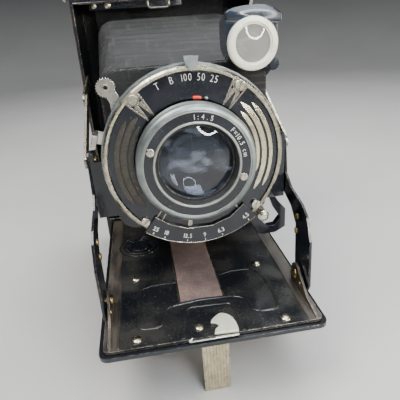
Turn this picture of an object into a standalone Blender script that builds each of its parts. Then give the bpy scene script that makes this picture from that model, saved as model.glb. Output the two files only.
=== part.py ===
"""Self-erecting folding roll-film camera, 6 x 9 cm, standing upright with its front open.

Run with: blender --background --python part.py
The driving sizes below are in millimetres and are turned into metres when a mesh is made.
Frame: +Z up, -Y out of the lens, +X to the right of someone looking at the lens.
The origin is the middle of the flat bottom end of the body.
"""

import math

import bmesh
import bpy
import numpy as np
from mathutils import Matrix, Vector

MM = 0.001
GAP = 0.3

# Body: a long case with rounded ends, in two halves that part at SPLIT_Y.
BODY_W, BODY_H, BODY_D = 80.0, 158.0, 36.0
WALL = 1.4
END_RADIUS = 9.0
FRONT_Y = -BODY_D / 2
BACK_Y = BODY_D / 2
SIDE = BODY_W / 2
SPLIT_Y = 9.0
OPENING_LOW, OPENING_HIGH = 27.6, 129.3
FRAME_Z = 79.5

# Film: gate, rollers and spools.
FILM_Y = FRONT_Y + 30.0
GATE_HALF_W, GATE_HALF_H = 28.0, 41.0
CASTING_HALF_W = 31.8
SPOOL_Y, SPOOL_LOW_Z, SPOOL_HIGH_Z = -3.6, 14.4, 144.0
SPOOL_FLANGE_R, SPOOL_CORE_R, SPOOL_HALF_W = 12.0, 4.2, 31.5

# Front door, open flat. Heights are measured from the hinge axis.
HINGE_Y, HINGE_Z = FRONT_Y - 1.0, 29.5
DOOR_HALF_W, DOOR_LENGTH = 37.5, 97.5
DOOR_TOP_Z, DOOR_BOTTOM_Z = 28.3, 25.5
EAR_X = 33.6
EAR_THICK = 0.8

# Side arms: the pivot on the door and the pivot on the lens standard.
ARM_FOOT_Y, ARM_FOOT_Z = FRONT_Y - 77.0, 33.0
ARM_HEAD_Y, ARM_HEAD_Z = FRONT_Y - 55.0, 77.2
ARM_X, ARM_THICK = 35.0, 0.8

# Body stays, from the arm heads to the body, folding at a knee.
STAY_ROOT_Y, STAY_ROOT_Z = FRONT_Y + 2.0, 97.7
STAY_KNEE_Y, STAY_KNEE_Z = FRONT_Y - 22.2, 93.1
STAY_FRONT_X, STAY_REAR_X, STAY_THICK = 36.1, 37.2, 0.8

# Lens standard and shutter, round the lens axis. The Y values are the front faces.
AXIS_Z = 79.5
BOARD_Y = FRONT_Y - 60.0
BOARD_THICK = 1.2
CASE_R, RIM_R = 27.0, 29.0
CASE_FRONT_Y = FRONT_Y - 71.3
PLATE_FRONT_Y = FRONT_Y - 72.9
RIM_FRONT_Y = FRONT_Y - 73.6
FOCUS_R, FOCUS_FRONT_Y = 19.0, FRONT_Y - 80.0

# Brilliant finder at the top right of the shutter.
FINDER_X, FINDER_Z = 19.8, 113.0
FINDER_FRONT_Y, FINDER_BACK_Y = FRONT_Y - 71.0, FRONT_Y - 60.0
FINDER_PIVOT_X, FINDER_PIVOT_Z = 28.6, 106.0

# Foot under the door.
FOOT_Y, FOOT_PIN_Z, FOOT_HALF_W = HINGE_Y - 91.5, 23.4, 4.6

# Hinges, rollers and fittings of the body.
LUG_X = 26.4
BACK_HINGE_Y, BACK_HINGE_Z = SPLIT_Y + 0.15, BODY_H + 1.5
CHAMBER_LOW_Z, CHAMBER_HIGH_Z = 27.3, 130.0
ROLLER_Y, ROLLER_LOW_Z, ROLLER_HIGH_Z = FILM_Y - 2.2, 24.6, 133.9
BUTTON_Y, BUTTON_Z = FRONT_Y + 6.0, 133.5
WINDOW_Z = 52.0
LATCH_X, LATCH_Y = SIDE + 0.85, BACK_Y - 4.0

# Door fittings.
BUSH_X, BUSH_Y, BUSH_FACE_Z = -23.5, FRONT_Y - 34.0, 24.0
PAD_X0, PAD_X1 = -9.4, 6.0
PAD_FRONT_Y, PAD_BACK_Y = FRONT_Y - 77.6, FRONT_Y - 14.0
CATCH_X = 4.0

# Shutter blades swing from this far above the lens axis.
BLADE_PIVOT_R = 21.0

# Head of the cocking lever, round the lens axis.
COCKING_HEAD_R, COCKING_HEAD_ANGLE = 34.6, 136.5


# ---------------------------------------------------------------- meshes

def clear_scene():
    for old in list(bpy.data.objects):
        bpy.data.objects.remove(old, do_unlink=True)


def material(name, colour, roughness, metallic=0.0):
    """One plain Principled material, shared by the pieces that have this finish."""
    found = bpy.data.materials.get(name)
    if found:
        return found
    made = bpy.data.materials.new(name)
    made.use_nodes = True
    shader = made.node_tree.nodes["Principled BSDF"]
    shader.inputs["Base Color"].default_value = (*colour, 1.0)
    shader.inputs["Roughness"].default_value = roughness
    shader.inputs["Metallic"].default_value = metallic
    return made


def enamel():
    return material("black_enamel", (0.012, 0.013, 0.018), 0.22)


def inner_black():
    return material("matt_black", (0.01, 0.01, 0.01), 0.7)


def nickel():
    return material("nickel", (0.62, 0.58, 0.48), 0.28, 1.0)


def steel():
    return material("steel", (0.55, 0.55, 0.53), 0.4, 1.0)


def brass():
    return material("brass", (0.55, 0.38, 0.14), 0.35, 1.0)


def satin():
    return material("satin_grey", (0.42, 0.43, 0.42), 0.45, 0.9)


def leather():
    return material("leathercloth", (0.03, 0.028, 0.026), 0.75)


def brown_leather():
    return material("brown_leather", (0.2, 0.12, 0.1), 0.8)


def wood():
    return material("spool_wood", (0.45, 0.3, 0.16), 0.6)


def glass():
    return material("lens_glass", (0.5, 0.55, 0.62), 0.03)


def red_glass():
    return material("red_window", (0.5, 0.02, 0.02), 0.1)


def mirror():
    return material("finder_mirror", (0.85, 0.87, 0.9), 0.05, 1.0)


def mesh_object(name, bm, finish, helper=False):
    """A closed mesh in millimetres becomes an object in metres."""
    bmesh.ops.remove_doubles(bm, verts=bm.verts, dist=1e-4)
    bmesh.ops.recalc_face_normals(bm, faces=bm.faces)
    bmesh.ops.scale(bm, vec=(MM, MM, MM), verts=bm.verts)
    mesh = bpy.data.meshes.new(name)
    bm.to_mesh(mesh)
    bm.free()
    mesh.shade_smooth()
    mesh.set_sharp_from_angle(angle=math.radians(35))
    made = bpy.data.objects.new(name, mesh)
    bpy.context.scene.collection.objects.link(made)
    if helper:
        made.hide_render = True
        made.display_type = "WIRE"
    else:
        mesh.materials.append(finish)
    return made


def axis_point(axis, u, v, along):
    """A point from two coordinates across an axis and one along it."""
    return {"X": (along, u, v), "Y": (u, along, v), "Z": (u, v, along)}[axis]


def loft_mesh(axis, outline_a, along_a, outline_b, along_b):
    """A solid between two outlines with the same number of points."""
    bm = bmesh.new()
    ring_a = [bm.verts.new(axis_point(axis, u, v, along_a)) for u, v in outline_a]
    ring_b = [bm.verts.new(axis_point(axis, u, v, along_b)) for u, v in outline_b]
    bm.faces.new(ring_a)
    bm.faces.new(ring_b)
    count = len(ring_a)
    for i in range(count):
        j = (i + 1) % count
        bm.faces.new((ring_a[i], ring_a[j], ring_b[j], ring_b[i]))
    return bm


def prism_mesh(axis, outline, low, high):
    return loft_mesh(axis, outline, low, outline, high)


def box_mesh(x0, x1, y0, y1, z0, z1):
    return prism_mesh("X", [(y0, z0), (y1, z0), (y1, z1), (y0, z1)], x0, x1)


def turned_mesh(axis, centre, profile, steps):
    """Turns a profile of (radius, along) points about an axis, from pole to pole or as a ring."""
    bm = bmesh.new()
    u0, v0 = centre
    points = [bm.verts.new(axis_point(axis, u0 + radius, v0, along)) for radius, along in profile]
    edges = [bm.edges.new(pair) for pair in zip(points, points[1:])]
    if profile[0][0] > 0:
        edges.append(bm.edges.new((points[-1], points[0])))
    direction = {"X": (1, 0, 0), "Y": (0, 1, 0), "Z": (0, 0, 1)}[axis]
    bmesh.ops.spin(bm, geom=points + edges, cent=axis_point(axis, u0, v0, 0.0), axis=direction,
                   angle=math.tau, steps=steps, use_merge=True)
    return bm


def rod_mesh(axis, centre, radius, low, high, steps=20):
    return turned_mesh(axis, centre, [(0, low), (radius, low), (radius, high), (0, high)], steps)


def arc(centre, radius, start, end, steps):
    """Points on a circle between two angles in degrees."""
    angles = np.radians(np.linspace(start, end, steps + 1))
    return [(centre[0] + radius * math.cos(a), centre[1] + radius * math.sin(a)) for a in angles]


def rounded_rectangle(u0, u1, v0, v1, radii, steps=5):
    """Corners in the order low-low, high-low, high-high, low-high, each with its own radius."""
    corners = [((u0, v0), (1, 1), 180), ((u1, v0), (-1, 1), 270), ((u1, v1), (-1, -1), 0),
               ((u0, v1), (1, -1), 90)]
    points = []
    for (corner, inward, start), radius in zip(corners, radii):
        if radius == 0:
            points.append(corner)
            continue
        centre = (corner[0] + inward[0] * radius, corner[1] + inward[1] * radius)
        points += arc(centre, radius, start, start + 90, steps)
    return points


def band(centre, inner, outer, start, end, steps):
    """A curved strip between two radii."""
    return arc(centre, outer, start, end, steps) + arc(centre, inner, end, start, steps)


def link_outline(points, radius, steps=6):
    """A bar with round ends between two points."""
    (u0, v0), (u1, v1) = points
    heading = math.degrees(math.atan2(v1 - v0, u1 - u0))
    near = arc((u0, v0), radius, heading + 90, heading + 270, steps)
    return near + arc((u1, v1), radius, heading - 90, heading + 90, steps)


def join_or_cut(target, others, operation):
    """Adds one Boolean for each helper, which stays hidden."""
    for index, bm in enumerate(others):
        helper = mesh_object(f"{target.name}_{operation.lower()}_{index}", bm, None, helper=True)
        modifier = target.modifiers.new(f"{operation.lower()}_{index}", "BOOLEAN")
        modifier.operation = operation
        modifier.solver = "EXACT"
        modifier.object = helper


def solid(name, finish, bm, add=(), cut=()):
    made = mesh_object(name, bm, finish)
    join_or_cut(made, add, "UNION")
    join_or_cut(made, cut, "DIFFERENCE")
    return made


# ---------------------------------------------------------------- body and film path

def shell_half(front, back, radii, inner_radii, open_front, open_back):
    """Outer and inner prisms of one half of the case."""
    outer = rounded_rectangle(front, back, 0, BODY_H, radii, 6)
    inner = rounded_rectangle(front + (-5 if open_front else WALL), back + (5 if open_back else -WALL),
                              WALL, BODY_H - WALL, inner_radii, 6)
    return prism_mesh("X", outer, -SIDE, SIDE), prism_mesh("X", inner, WALL - SIDE, SIDE - WALL)


def make_body():
    inner_r = END_RADIUS - WALL
    outer, inner = shell_half(FRONT_Y, SPLIT_Y, (END_RADIUS, 0, 0, END_RADIUS), (inner_r, 0, 0, inner_r),
                              False, True)
    door_lugs = [box_mesh(x, x + 3, HINGE_Y - 1.6, FRONT_Y + 0.8, OPENING_LOW - 2, HINGE_Z + 1.6)
                 for x in (-LUG_X - 3, LUG_X)]
    back_lugs = []
    for x in (-30, 24):
        back_lugs.append(box_mesh(x, x + 6, SPLIT_Y - 4, SPLIT_Y, BODY_H - 0.8, BACK_HINGE_Z + 1))
        back_lugs.append(rod_mesh("X", (BACK_HINGE_Y, BACK_HINGE_Z), 1.3, x, x + 6, 16))
    gaps = [(-LUG_X, LUG_X), (WALL - SIDE, -LUG_X - 3), (LUG_X + 3, SIDE - WALL)]
    low_cuts = [box_mesh(x0, x1, HINGE_Y - 3, FRONT_Y + 2.5, OPENING_LOW, HINGE_Z + 4) for x0, x1 in gaps]
    solid("body_shell", enamel(), outer, add=door_lugs + back_lugs,
          cut=[inner, *low_cuts,
               box_mesh(WALL - SIDE, SIDE - WALL, HINGE_Y - 3, FRONT_Y + 2.5, HINGE_Z + 1.61, OPENING_HIGH),
               rod_mesh("X", (HINGE_Y, HINGE_Z), 0.9, -LUG_X - 2, LUG_X + 2, 12),
               rod_mesh("X", (BACK_HINGE_Y, BACK_HINGE_Z), 0.9, -31, 31, 12),
               rod_mesh("X", (SPOOL_Y, SPOOL_HIGH_Z), 2.6, -SIDE - 2, 5 - SIDE, 20),
               rod_mesh("X", (BUTTON_Y, BUTTON_Z), 1.9, -SIDE - 2, 5 - SIDE, 16)])
    solid("door_hinge_pin", steel(), rod_mesh("X", (HINGE_Y, HINGE_Z), 0.6, -LUG_X - 1.7, LUG_X + 1.7, 12))
    solid("back_hinge_pin", steel(), rod_mesh("X", (BACK_HINGE_Y, BACK_HINGE_Z), 0.6, -29.5, 29.5, 12))


def make_film_gate():
    """The inner casting: a window plate, a wall at each spool chamber, and ears for the rollers."""
    half = CASTING_HALF_W
    walls = [box_mesh(-half, half, FRONT_Y + 3.2, FILM_Y - 0.5, z, z + 1.2)
             for z in (CHAMBER_LOW_Z, CHAMBER_HIGH_Z)]
    ears = []
    for z, low in ((ROLLER_LOW_Z, ROLLER_LOW_Z - 2), (ROLLER_HIGH_Z, CHAMBER_HIGH_Z)):
        high = CHAMBER_LOW_Z + 1 if z == ROLLER_LOW_Z else z + 2
        ears += [box_mesh(x, x + 1.2, ROLLER_Y - 3, FILM_Y, low, high) for x in (-half, half - 1.2)]
    window = rounded_rectangle(-GATE_HALF_W, GATE_HALF_W, FRAME_Z - GATE_HALF_H, FRAME_Z + GATE_HALF_H,
                               (1, 1, 1, 1), 2)
    solid("film_gate", inner_black(),
          box_mesh(-half, half, FILM_Y - 1.5, FILM_Y, CHAMBER_LOW_Z, CHAMBER_HIGH_Z + 1.2),
          add=walls + ears,
          cut=[prism_mesh("Y", window, FILM_Y - 3, FILM_Y + 3),
               rod_mesh("X", (ROLLER_Y, ROLLER_LOW_Z), 1.2, -40, 40, 12),
               rod_mesh("X", (ROLLER_Y, ROLLER_HIGH_Z), 1.2, -40, 40, 12)])


def make_rollers_and_spools():
    end, shoulder = CASTING_HALF_W - 0.2, CASTING_HALF_W - 1.5
    roller = [(0, -end), (0.9, -end), (0.9, -shoulder), (2, -shoulder)]
    for name, z in (("film_roller_lower", ROLLER_LOW_Z), ("film_roller_upper", ROLLER_HIGH_Z)):
        solid(name, steel(), turned_mesh("X", (ROLLER_Y, z), mirrored_profile(roller), 16))
    half, flange, core = SPOOL_HALF_W, SPOOL_FLANGE_R, SPOOL_CORE_R
    spool = [(0, 5 - half), (2.6, 5 - half), (2.6, -half), (flange, -half), (flange, 1.2 - half),
             (core, 1.2 - half)]
    for name, z in (("feed_spool", SPOOL_LOW_Z), ("takeup_spool", SPOOL_HIGH_Z)):
        solid(name, wood(), turned_mesh("X", (SPOOL_Y, z), mirrored_profile(spool), 28))
    pin_in, pin_out = SPOOL_HALF_W - 4, SIDE - WALL - GAP
    for name, z, side in (("feed_pin_left", SPOOL_LOW_Z, -1), ("feed_pin_right", SPOOL_LOW_Z, 1),
                          ("takeup_pin_right", SPOOL_HIGH_Z, 1)):
        low, high = sorted((side * pin_in, side * pin_out))
        solid(name, steel(), rod_mesh("X", (SPOOL_Y, z), 2.2, low, high, 16))
    key = [(0, -27.5), (2.2, -27.5), (2.2, -SIDE - 1), (7.5, -SIDE - 1), (8, -SIDE - 1.6), (8, -SIDE - 3.4),
           (7, -SIDE - 4), (0, -SIDE - 4)]
    grip = box_mesh(-SIDE - 8, -SIDE - 3.5, SPOOL_Y - 0.9, SPOOL_Y + 0.9, SPOOL_HIGH_Z - 6.5,
                    SPOOL_HIGH_Z + 6.5)
    solid("winding_key", nickel(), turned_mesh("X", (SPOOL_Y, SPOOL_HIGH_Z), key, 28), add=[grip])


def mirrored_profile(half):
    """A profile and its mirror image along the axis."""
    return half + [(radius, -along) for radius, along in reversed(half)]


def make_body_fittings():
    solid("catch_bracket", enamel(), box_mesh(-32, 8, FRONT_Y + WALL + GAP, FRONT_Y + WALL + GAP + 1,
                                              OPENING_HIGH - 2.4, 135))
    button = [(0, -SIDE - 3), (2.2, -SIDE - 3), (2.6, -SIDE - 2.6), (2.6, -SIDE - 1.7), (1.5, -SIDE - 1.7),
              (1.5, 3 - SIDE), (0, 3 - SIDE)]
    solid("door_release_button", nickel(), turned_mesh("X", (BUTTON_Y, BUTTON_Z), button, 20))


# ---------------------------------------------------------------- back

def make_back():
    outer_r = BACK_Y - SPLIT_Y - 2 * GAP
    inner_r = outer_r - WALL
    outer, inner = shell_half(SPLIT_Y + GAP, BACK_Y, (0, outer_r, outer_r, 0), (0, inner_r, inner_r, 0),
                              True, False)
    rails = [box_mesh(-9, 19, BACK_Y - 0.7, BACK_Y + 1.5, z, z + 1)
             for z in (WINDOW_Z - 7.4, WINDOW_Z + 6.4)]
    knuckle = rod_mesh("X", (BACK_HINGE_Y, BACK_HINGE_Z), 1.3, -23.5, 23.5, 16)
    leaf = box_mesh(-23.5, 23.5, BACK_HINGE_Y, SPLIT_Y + 4, BODY_H - 0.6, BACK_HINGE_Z + 1)
    latch_lugs = [box_mesh(SIDE - 0.6, LATCH_X + 1.2, LATCH_Y - 1.3, LATCH_Y + 1.3, z, z + 2)
                  for z in (15.7, 36.3)]
    solid("back_door", enamel(), outer, add=[*rails, knuckle, leaf, *latch_lugs],
          cut=[inner,
               rod_mesh("Y", (0, WINDOW_Z), 5, BACK_Y - 4, BACK_Y + 1, 24),
               rod_mesh("X", (BACK_HINGE_Y, BACK_HINGE_Z), 0.9, -24, 24, 12),
               rod_mesh("Z", (LATCH_X, LATCH_Y), 0.8, 14, 40, 12)])
    solid("red_window", red_glass(), rod_mesh("Y", (0, WINDOW_Z), 4.7, BACK_Y - 1.1, BACK_Y - 0.3, 24))
    slide = rounded_rectangle(-7, 8, WINDOW_Z - 6.1, WINDOW_Z + 6.1, (2, 2, 2, 2), 3)
    solid("window_slide", nickel(), prism_mesh("Y", slide, BACK_Y + GAP, BACK_Y + 1.1),
          add=[box_mesh(5, 6.4, BACK_Y + 0.8, BACK_Y + 2, WINDOW_Z - 4, WINDOW_Z + 4)])
    solid("pressure_plate", inner_black(), box_mesh(-31, 31, FILM_Y + 0.7, FILM_Y + 1.5, 36, 123),
          cut=[rod_mesh("Y", (0, WINDOW_Z), 5, FILM_Y - 1, FILM_Y + 3, 24)])
    bow = band((FILM_Y + 103.2, FRAME_Z), 101.0, 101.4, 168.6, 191.4, 8)
    solid("pressure_spring", steel(), prism_mesh("X", bow, -6, 6))
    trunnion = rod_mesh("Z", (LATCH_X, LATCH_Y), 0.5, 16.2, 37.8, 10)
    solid("back_latch", nickel(), box_mesh(SIDE + 0.4, SIDE + 1.3, SPLIT_Y - 6, LATCH_Y + 0.7, 18, 36),
          add=[trunnion])


# ---------------------------------------------------------------- front door

def make_door():
    door_front = HINGE_Y - DOOR_LENGTH
    outline = rounded_rectangle(-DOOR_HALF_W, DOOR_HALF_W, door_front, HINGE_Y - 0.6, (3, 3, 0, 0), 4)
    foot_lugs = [box_mesh(x, x + 1.6, FOOT_Y - 1.7, FOOT_Y + 1.7, FOOT_PIN_Z - 1.4, DOOR_BOTTOM_Z + 0.6)
                 for x in (-FOOT_HALF_W - 1.9, FOOT_HALF_W + 0.3)]
    barrel = rod_mesh("X", (HINGE_Y, HINGE_Z), 1.5, GAP - LUG_X, LUG_X - GAP, 16)
    web = box_mesh(GAP - LUG_X, LUG_X - GAP, HINGE_Y - 1.4, HINGE_Y - 0.6, DOOR_BOTTOM_Z + 0.5, HINGE_Z)
    notches = [box_mesh(x, x + 3.8, HINGE_Y - 2.3, HINGE_Y + 1, 20, 32)
               for x in (-LUG_X - 3.4, LUG_X - 0.4)]
    bush_hole = rod_mesh("Z", (BUSH_X, BUSH_Y), 5.5, 20, 32, 24)
    solid("door_shell", enamel(), prism_mesh("Z", outline, DOOR_BOTTOM_Z, DOOR_TOP_Z - 1.3),
          add=[barrel, web, *foot_lugs],
          cut=[*notches, bush_hole,
               rod_mesh("X", (HINGE_Y, HINGE_Z), 0.9, -30, 30, 12),
               rod_mesh("X", (FOOT_Y, FOOT_PIN_Z), 0.9, -10, 10, 12)])
    front = FRONT_Y
    ear = [(front - 97, DOOR_TOP_Z - 0.8), (front - 96, DOOR_TOP_Z + 0.6), (front - 88, 30.2),
           (front - 81.5, 34.6), *arc((ARM_FOOT_Y, ARM_FOOT_Z), 4.0, 130, 30, 5),
           (front - 72.5, DOOR_TOP_Z - 0.8)]
    ears = [prism_mesh("X", ear, x, x + EAR_THICK) for x in (EAR_X, -EAR_X - EAR_THICK)]
    plate = rounded_rectangle(-36, 36, door_front + 1.4, HINGE_Y - 4, (2, 2, 0, 0), 3)
    pad_bed = box_mesh(PAD_X0 - 0.4, PAD_X1 + 0.4, PAD_FRONT_Y - 0.4, PAD_BACK_Y + 0.4, DOOR_TOP_Z - 0.7, 32)
    solid("door_plate", enamel(), prism_mesh("Z", plate, DOOR_TOP_Z - 1, DOOR_TOP_Z), add=ears,
          cut=[rod_mesh("Z", (BUSH_X, BUSH_Y), 5.5, 20, 32, 24), pad_bed,
               rod_mesh("X", (ARM_FOOT_Y, ARM_FOOT_Z), 1.5, -40, 40, 14)])
    solid("door_pad", brown_leather(),
          box_mesh(PAD_X0, PAD_X1, PAD_FRONT_Y, PAD_BACK_Y, DOOR_TOP_Z - 0.4, DOOR_TOP_Z))
    bush = [(0, 28.9), (5.2, 28.9), (5.2, 25.2), (7.5, 25.2), (7.5, BUSH_FACE_Z), (3.3, BUSH_FACE_Z),
            (3.3, 27.9), (0, 27.9)]
    solid("tripod_bush", nickel(), turned_mesh("Z", (BUSH_X, BUSH_Y), bush, 28))
    catch = [(CATCH_X - 4.5, front - 96.4), (CATCH_X + 4.5, front - 96.4),
             *arc((CATCH_X, front - 91.4), 4.5, 0, 180, 10)]
    solid("door_catch", nickel(), prism_mesh("Z", catch, DOOR_TOP_Z + GAP, DOOR_TOP_Z + 1.0))


def make_foot():
    knuckle = rod_mesh("X", (FOOT_Y, FOOT_PIN_Z), 1.3, -FOOT_HALF_W, FOOT_HALF_W, 16)
    solid("foot", nickel(), box_mesh(-FOOT_HALF_W, FOOT_HALF_W, FOOT_Y - 0.6, FOOT_Y + 0.6, 0, FOOT_PIN_Z),
          add=[knuckle], cut=[rod_mesh("X", (FOOT_Y, FOOT_PIN_Z), 0.9, -10, 10, 12)])
    pin_end = FOOT_HALF_W + 1.8
    solid("foot_pin", steel(), rod_mesh("X", (FOOT_Y, FOOT_PIN_Z), 0.6, -pin_end, pin_end, 12))


# ---------------------------------------------------------------- side arms and stays

def arm_outline():
    """One side arm: a broad foot, a step back at the knee, and a narrow head."""
    y = FRONT_Y
    foot = (ARM_FOOT_Y, ARM_FOOT_Z)
    head = (ARM_HEAD_Y, ARM_HEAD_Z)
    front_edge = [(y - 84.5, 30.2), (y - 86, 33), (y - 85.2, 50), (y - 81.5, 58), (y - 77, 60.6),
                  (y - 66, 62.8), (y - 60.5, 66.5)]
    back_edge = [(y - 52.2, 66), (y - 56, 59.5), (y - 67, 56), (y - 72.2, 51), (y - 72.8, 38)]
    return [*front_edge, *arc(head, 3.7, 185, -5, 8), *back_edge, *arc(foot, 4.0, 10, -90, 5)]


def make_arms():
    for name, side in (("left", -1), ("right", 1)):
        low, high = sorted((side * ARM_X, side * (ARM_X + ARM_THICK)))
        holes = [rod_mesh("X", centre, 1.5, -40, 40, 14)
                 for centre in ((ARM_FOOT_Y, ARM_FOOT_Z), (ARM_HEAD_Y, ARM_HEAD_Z))]
        solid(f"arm_{name}", enamel(), prism_mesh("X", arm_outline(), low, high), cut=holes)
        for part, centre, inner in (("foot", (ARM_FOOT_Y, ARM_FOOT_Z), 33.3),
                                    ("head", (ARM_HEAD_Y, ARM_HEAD_Z), 32.9)):
            end = ARM_X + ARM_THICK
            shank = [(0, inner - 0.6), (1.5, inner - 0.6), (2.1, inner), (1.2, inner), (1.2, end), (0, end)]
            turned = [(radius, side * along) for radius, along in shank]
            solid(f"arm_{part}_rivet_{name}", brass(), turned_mesh("X", centre, turned, 16))


def make_stays():
    root = (STAY_ROOT_Y, STAY_ROOT_Z)
    knee = (STAY_KNEE_Y, STAY_KNEE_Z)
    head = (ARM_HEAD_Y, ARM_HEAD_Z)
    for name, side in (("left", -1), ("right", 1)):
        low, high = sorted((side * STAY_REAR_X, side * (STAY_REAR_X + STAY_THICK)))
        solid(f"stay_rear_{name}", nickel(), prism_mesh("X", link_outline((root, knee), 2.6), low, high))
        low, high = sorted((side * STAY_FRONT_X, side * (STAY_FRONT_X + STAY_THICK)))
        solid(f"stay_front_{name}", nickel(), prism_mesh("X", link_outline((knee, head), 2.6), low, high))


# ---------------------------------------------------------------- standard, shutter and lens

def make_standard():
    y = BOARD_Y
    board = rounded_rectangle(-27.6, 27.6, AXIS_Z - 28.3, AXIS_Z + 28.3, (6, 6, 6, 6), 4)
    wings = [box_mesh(*sorted((side * 20, side * 34.7)), y, y + BOARD_THICK, 57, 78) for side in (-1, 1)]
    cheek = rounded_rectangle(y, ARM_HEAD_Y + 3.8, 60, ARM_HEAD_Z + 3.8, (0, 3, 3.5, 0), 4)
    cheeks = [prism_mesh("X", cheek, *sorted((side * 33.2, side * 34.7))) for side in (-1, 1)]
    ear = link_outline(((20, 96), (FINDER_PIVOT_X, FINDER_PIVOT_Z)), 2.0)
    solid("standard", enamel(), prism_mesh("Y", board, y, y + BOARD_THICK),
          add=[*wings, *cheeks, prism_mesh("Y", ear, y, y + BOARD_THICK)],
          cut=[rod_mesh("Y", (0, AXIS_Z), 12.2, y - 3, y + 4, 48),
               rod_mesh("X", (ARM_HEAD_Y, ARM_HEAD_Z), 1.5, -40, 40, 14),
               rod_mesh("Y", (FINDER_PIVOT_X, FINDER_PIVOT_Z), 1.2, y - 2, y + 4, 14)])
    lock = [(21, 54), (20.6, 50), (22.6, 46.5), (23.6, 43.6), (26, 43.2), (30.5, 43.3), (34.4, 45.4),
            (34.4, 50.5), (32.2, 49.2), (30.3, 46.6), (27.4, 46.4), (25.6, 48.2), (24.4, 51.5), (24, 54)]
    horn = [(28.4, 58.2), (30.2, 53.2), (33, 48.6), (34.4, 49.5), (34.4, 53), (31.8, 56), (30.2, 58.6)]
    solid("strut_lock", enamel(), prism_mesh("Y", lock, y - 3, y - GAP),
          add=[prism_mesh("Y", horn, y - 3, y - GAP)])


def make_shutter():
    y = FRONT_Y
    case = [(15.5, y - 61.5), (25.4, y - 61.5), (25.4, CASE_FRONT_Y), (CASE_R, CASE_FRONT_Y),
            (CASE_R, y - 60.3), (15.5, y - 60.3)]
    solid("shutter_case", enamel(), turned_mesh("Y", (0, AXIS_Z), case, 48))
    face = [(19.4, PLATE_FRONT_Y), (27.3, PLATE_FRONT_Y), (27.3, CASE_FRONT_Y - GAP),
            (19.4, CASE_FRONT_Y - GAP)]
    solid("shutter_face", enamel(), turned_mesh("Y", (0, AXIS_Z), face, 48))
    rim = [(27.6, RIM_FRONT_Y + 0.2), (28.4, RIM_FRONT_Y), (RIM_R, RIM_FRONT_Y + 0.5),
           (RIM_R, CASE_FRONT_Y - GAP), (27.6, CASE_FRONT_Y - GAP)]
    solid("shutter_rim", nickel(), turned_mesh("Y", (0, AXIS_Z), rim, 48))
    iris = [(5.5, y - 65.2), (25, y - 65.2), (25, y - 64.8), (5.5, y - 64.8)]
    solid("iris_ring", inner_black(), turned_mesh("Y", (0, AXIS_Z), iris, 32))
    for name, side, front in (("left", -1, y - 64.0), ("right", 1, y - 63.2)):
        half = [(side * u, v) for u, v in arc((0, AXIS_Z), 9.5, 270, 450, 10)]
        half += [(-side * 0.8, AXIS_Z + 9.5), (-side * 0.8, AXIS_Z - 9.5)]
        neck = link_outline(((side * 2, AXIS_Z + 6), (0, AXIS_Z + BLADE_PIVOT_R)), 2.2)
        solid(f"shutter_blade_{name}", inner_black(), prism_mesh("Y", half, front, front + 0.3),
              add=[prism_mesh("Y", neck, front, front + 0.3)])


def control_ring(front, back):
    """The ring that carries a lever round the shutter case."""
    return turned_mesh("Y", (0, AXIS_Z), [(27.3, front), (28.8, front), (28.8, back), (27.3, back)], 48)


def polar(radius, degrees):
    return radius * math.cos(math.radians(degrees)), AXIS_Z + radius * math.sin(math.radians(degrees))


def make_controls():
    y = FRONT_Y
    speed = [(27.3, y - 71), (29.6, y - 71), (29.6, y - 67.6), (27.3, y - 67.6)]
    pointer = [(-1.5, AXIS_Z + 31.6), (2.9, AXIS_Z + 31.6), (2.6, AXIS_Z + 29.7), (0.7, AXIS_Z + 27.5),
               (-1.2, AXIS_Z + 29.7)]
    solid("speed_ring", nickel(), turned_mesh("Y", (0, AXIS_Z), speed, 48),
          add=[prism_mesh("Y", pointer, RIM_FRONT_Y - 1.0, RIM_FRONT_Y - GAP),
               box_mesh(-0.7, 2.1, RIM_FRONT_Y - 1.0, y - 67.6, AXIS_Z + 29.3, AXIS_Z + 31.3)])
    head = polar(COCKING_HEAD_R, COCKING_HEAD_ANGLE)
    neck = [polar(27.6, 152), polar(27.6, 137), polar(31, 135), polar(34, 134), polar(34.4, 139),
            polar(31, 142)]
    solid("cocking_lever", nickel(), control_ring(y - 66.9, y - 65.9),
          add=[prism_mesh("Y", neck, y - 66.9, y - 65.9), rod_mesh("Y", head, 2.8, y - 66.9, y - 65.9, 18)],
          cut=[rod_mesh("Y", head, 0.7, y - 68, y - 65, 10)])
    tab = [polar(27.6, 160), polar(32.6, 160.5), polar(32.6, 168), polar(27.6, 168.5)]
    grip = [polar(31.2, 160.5), polar(32.6, 160.5), polar(32.6, 168), polar(31.2, 168)]
    solid("release_lever", nickel(), control_ring(y - 65.5, y - 64.7),
          add=[prism_mesh("Y", tab, y - 65.5, y - 64.7), prism_mesh("Y", grip, y - 72, y - 64.7)])
    arm = [polar(27.6, -52), polar(35.2, -49), polar(35.2, -43), polar(27.6, -40)]
    peg = rod_mesh("Y", polar(33.4, -46), 1.7, y - 72.5, y - 63.5, 14)
    solid("aperture_lever", nickel(), control_ring(y - 64.3, y - 63.5),
          add=[prism_mesh("Y", arm, y - 64.3, y - 63.5), peg])


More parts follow.
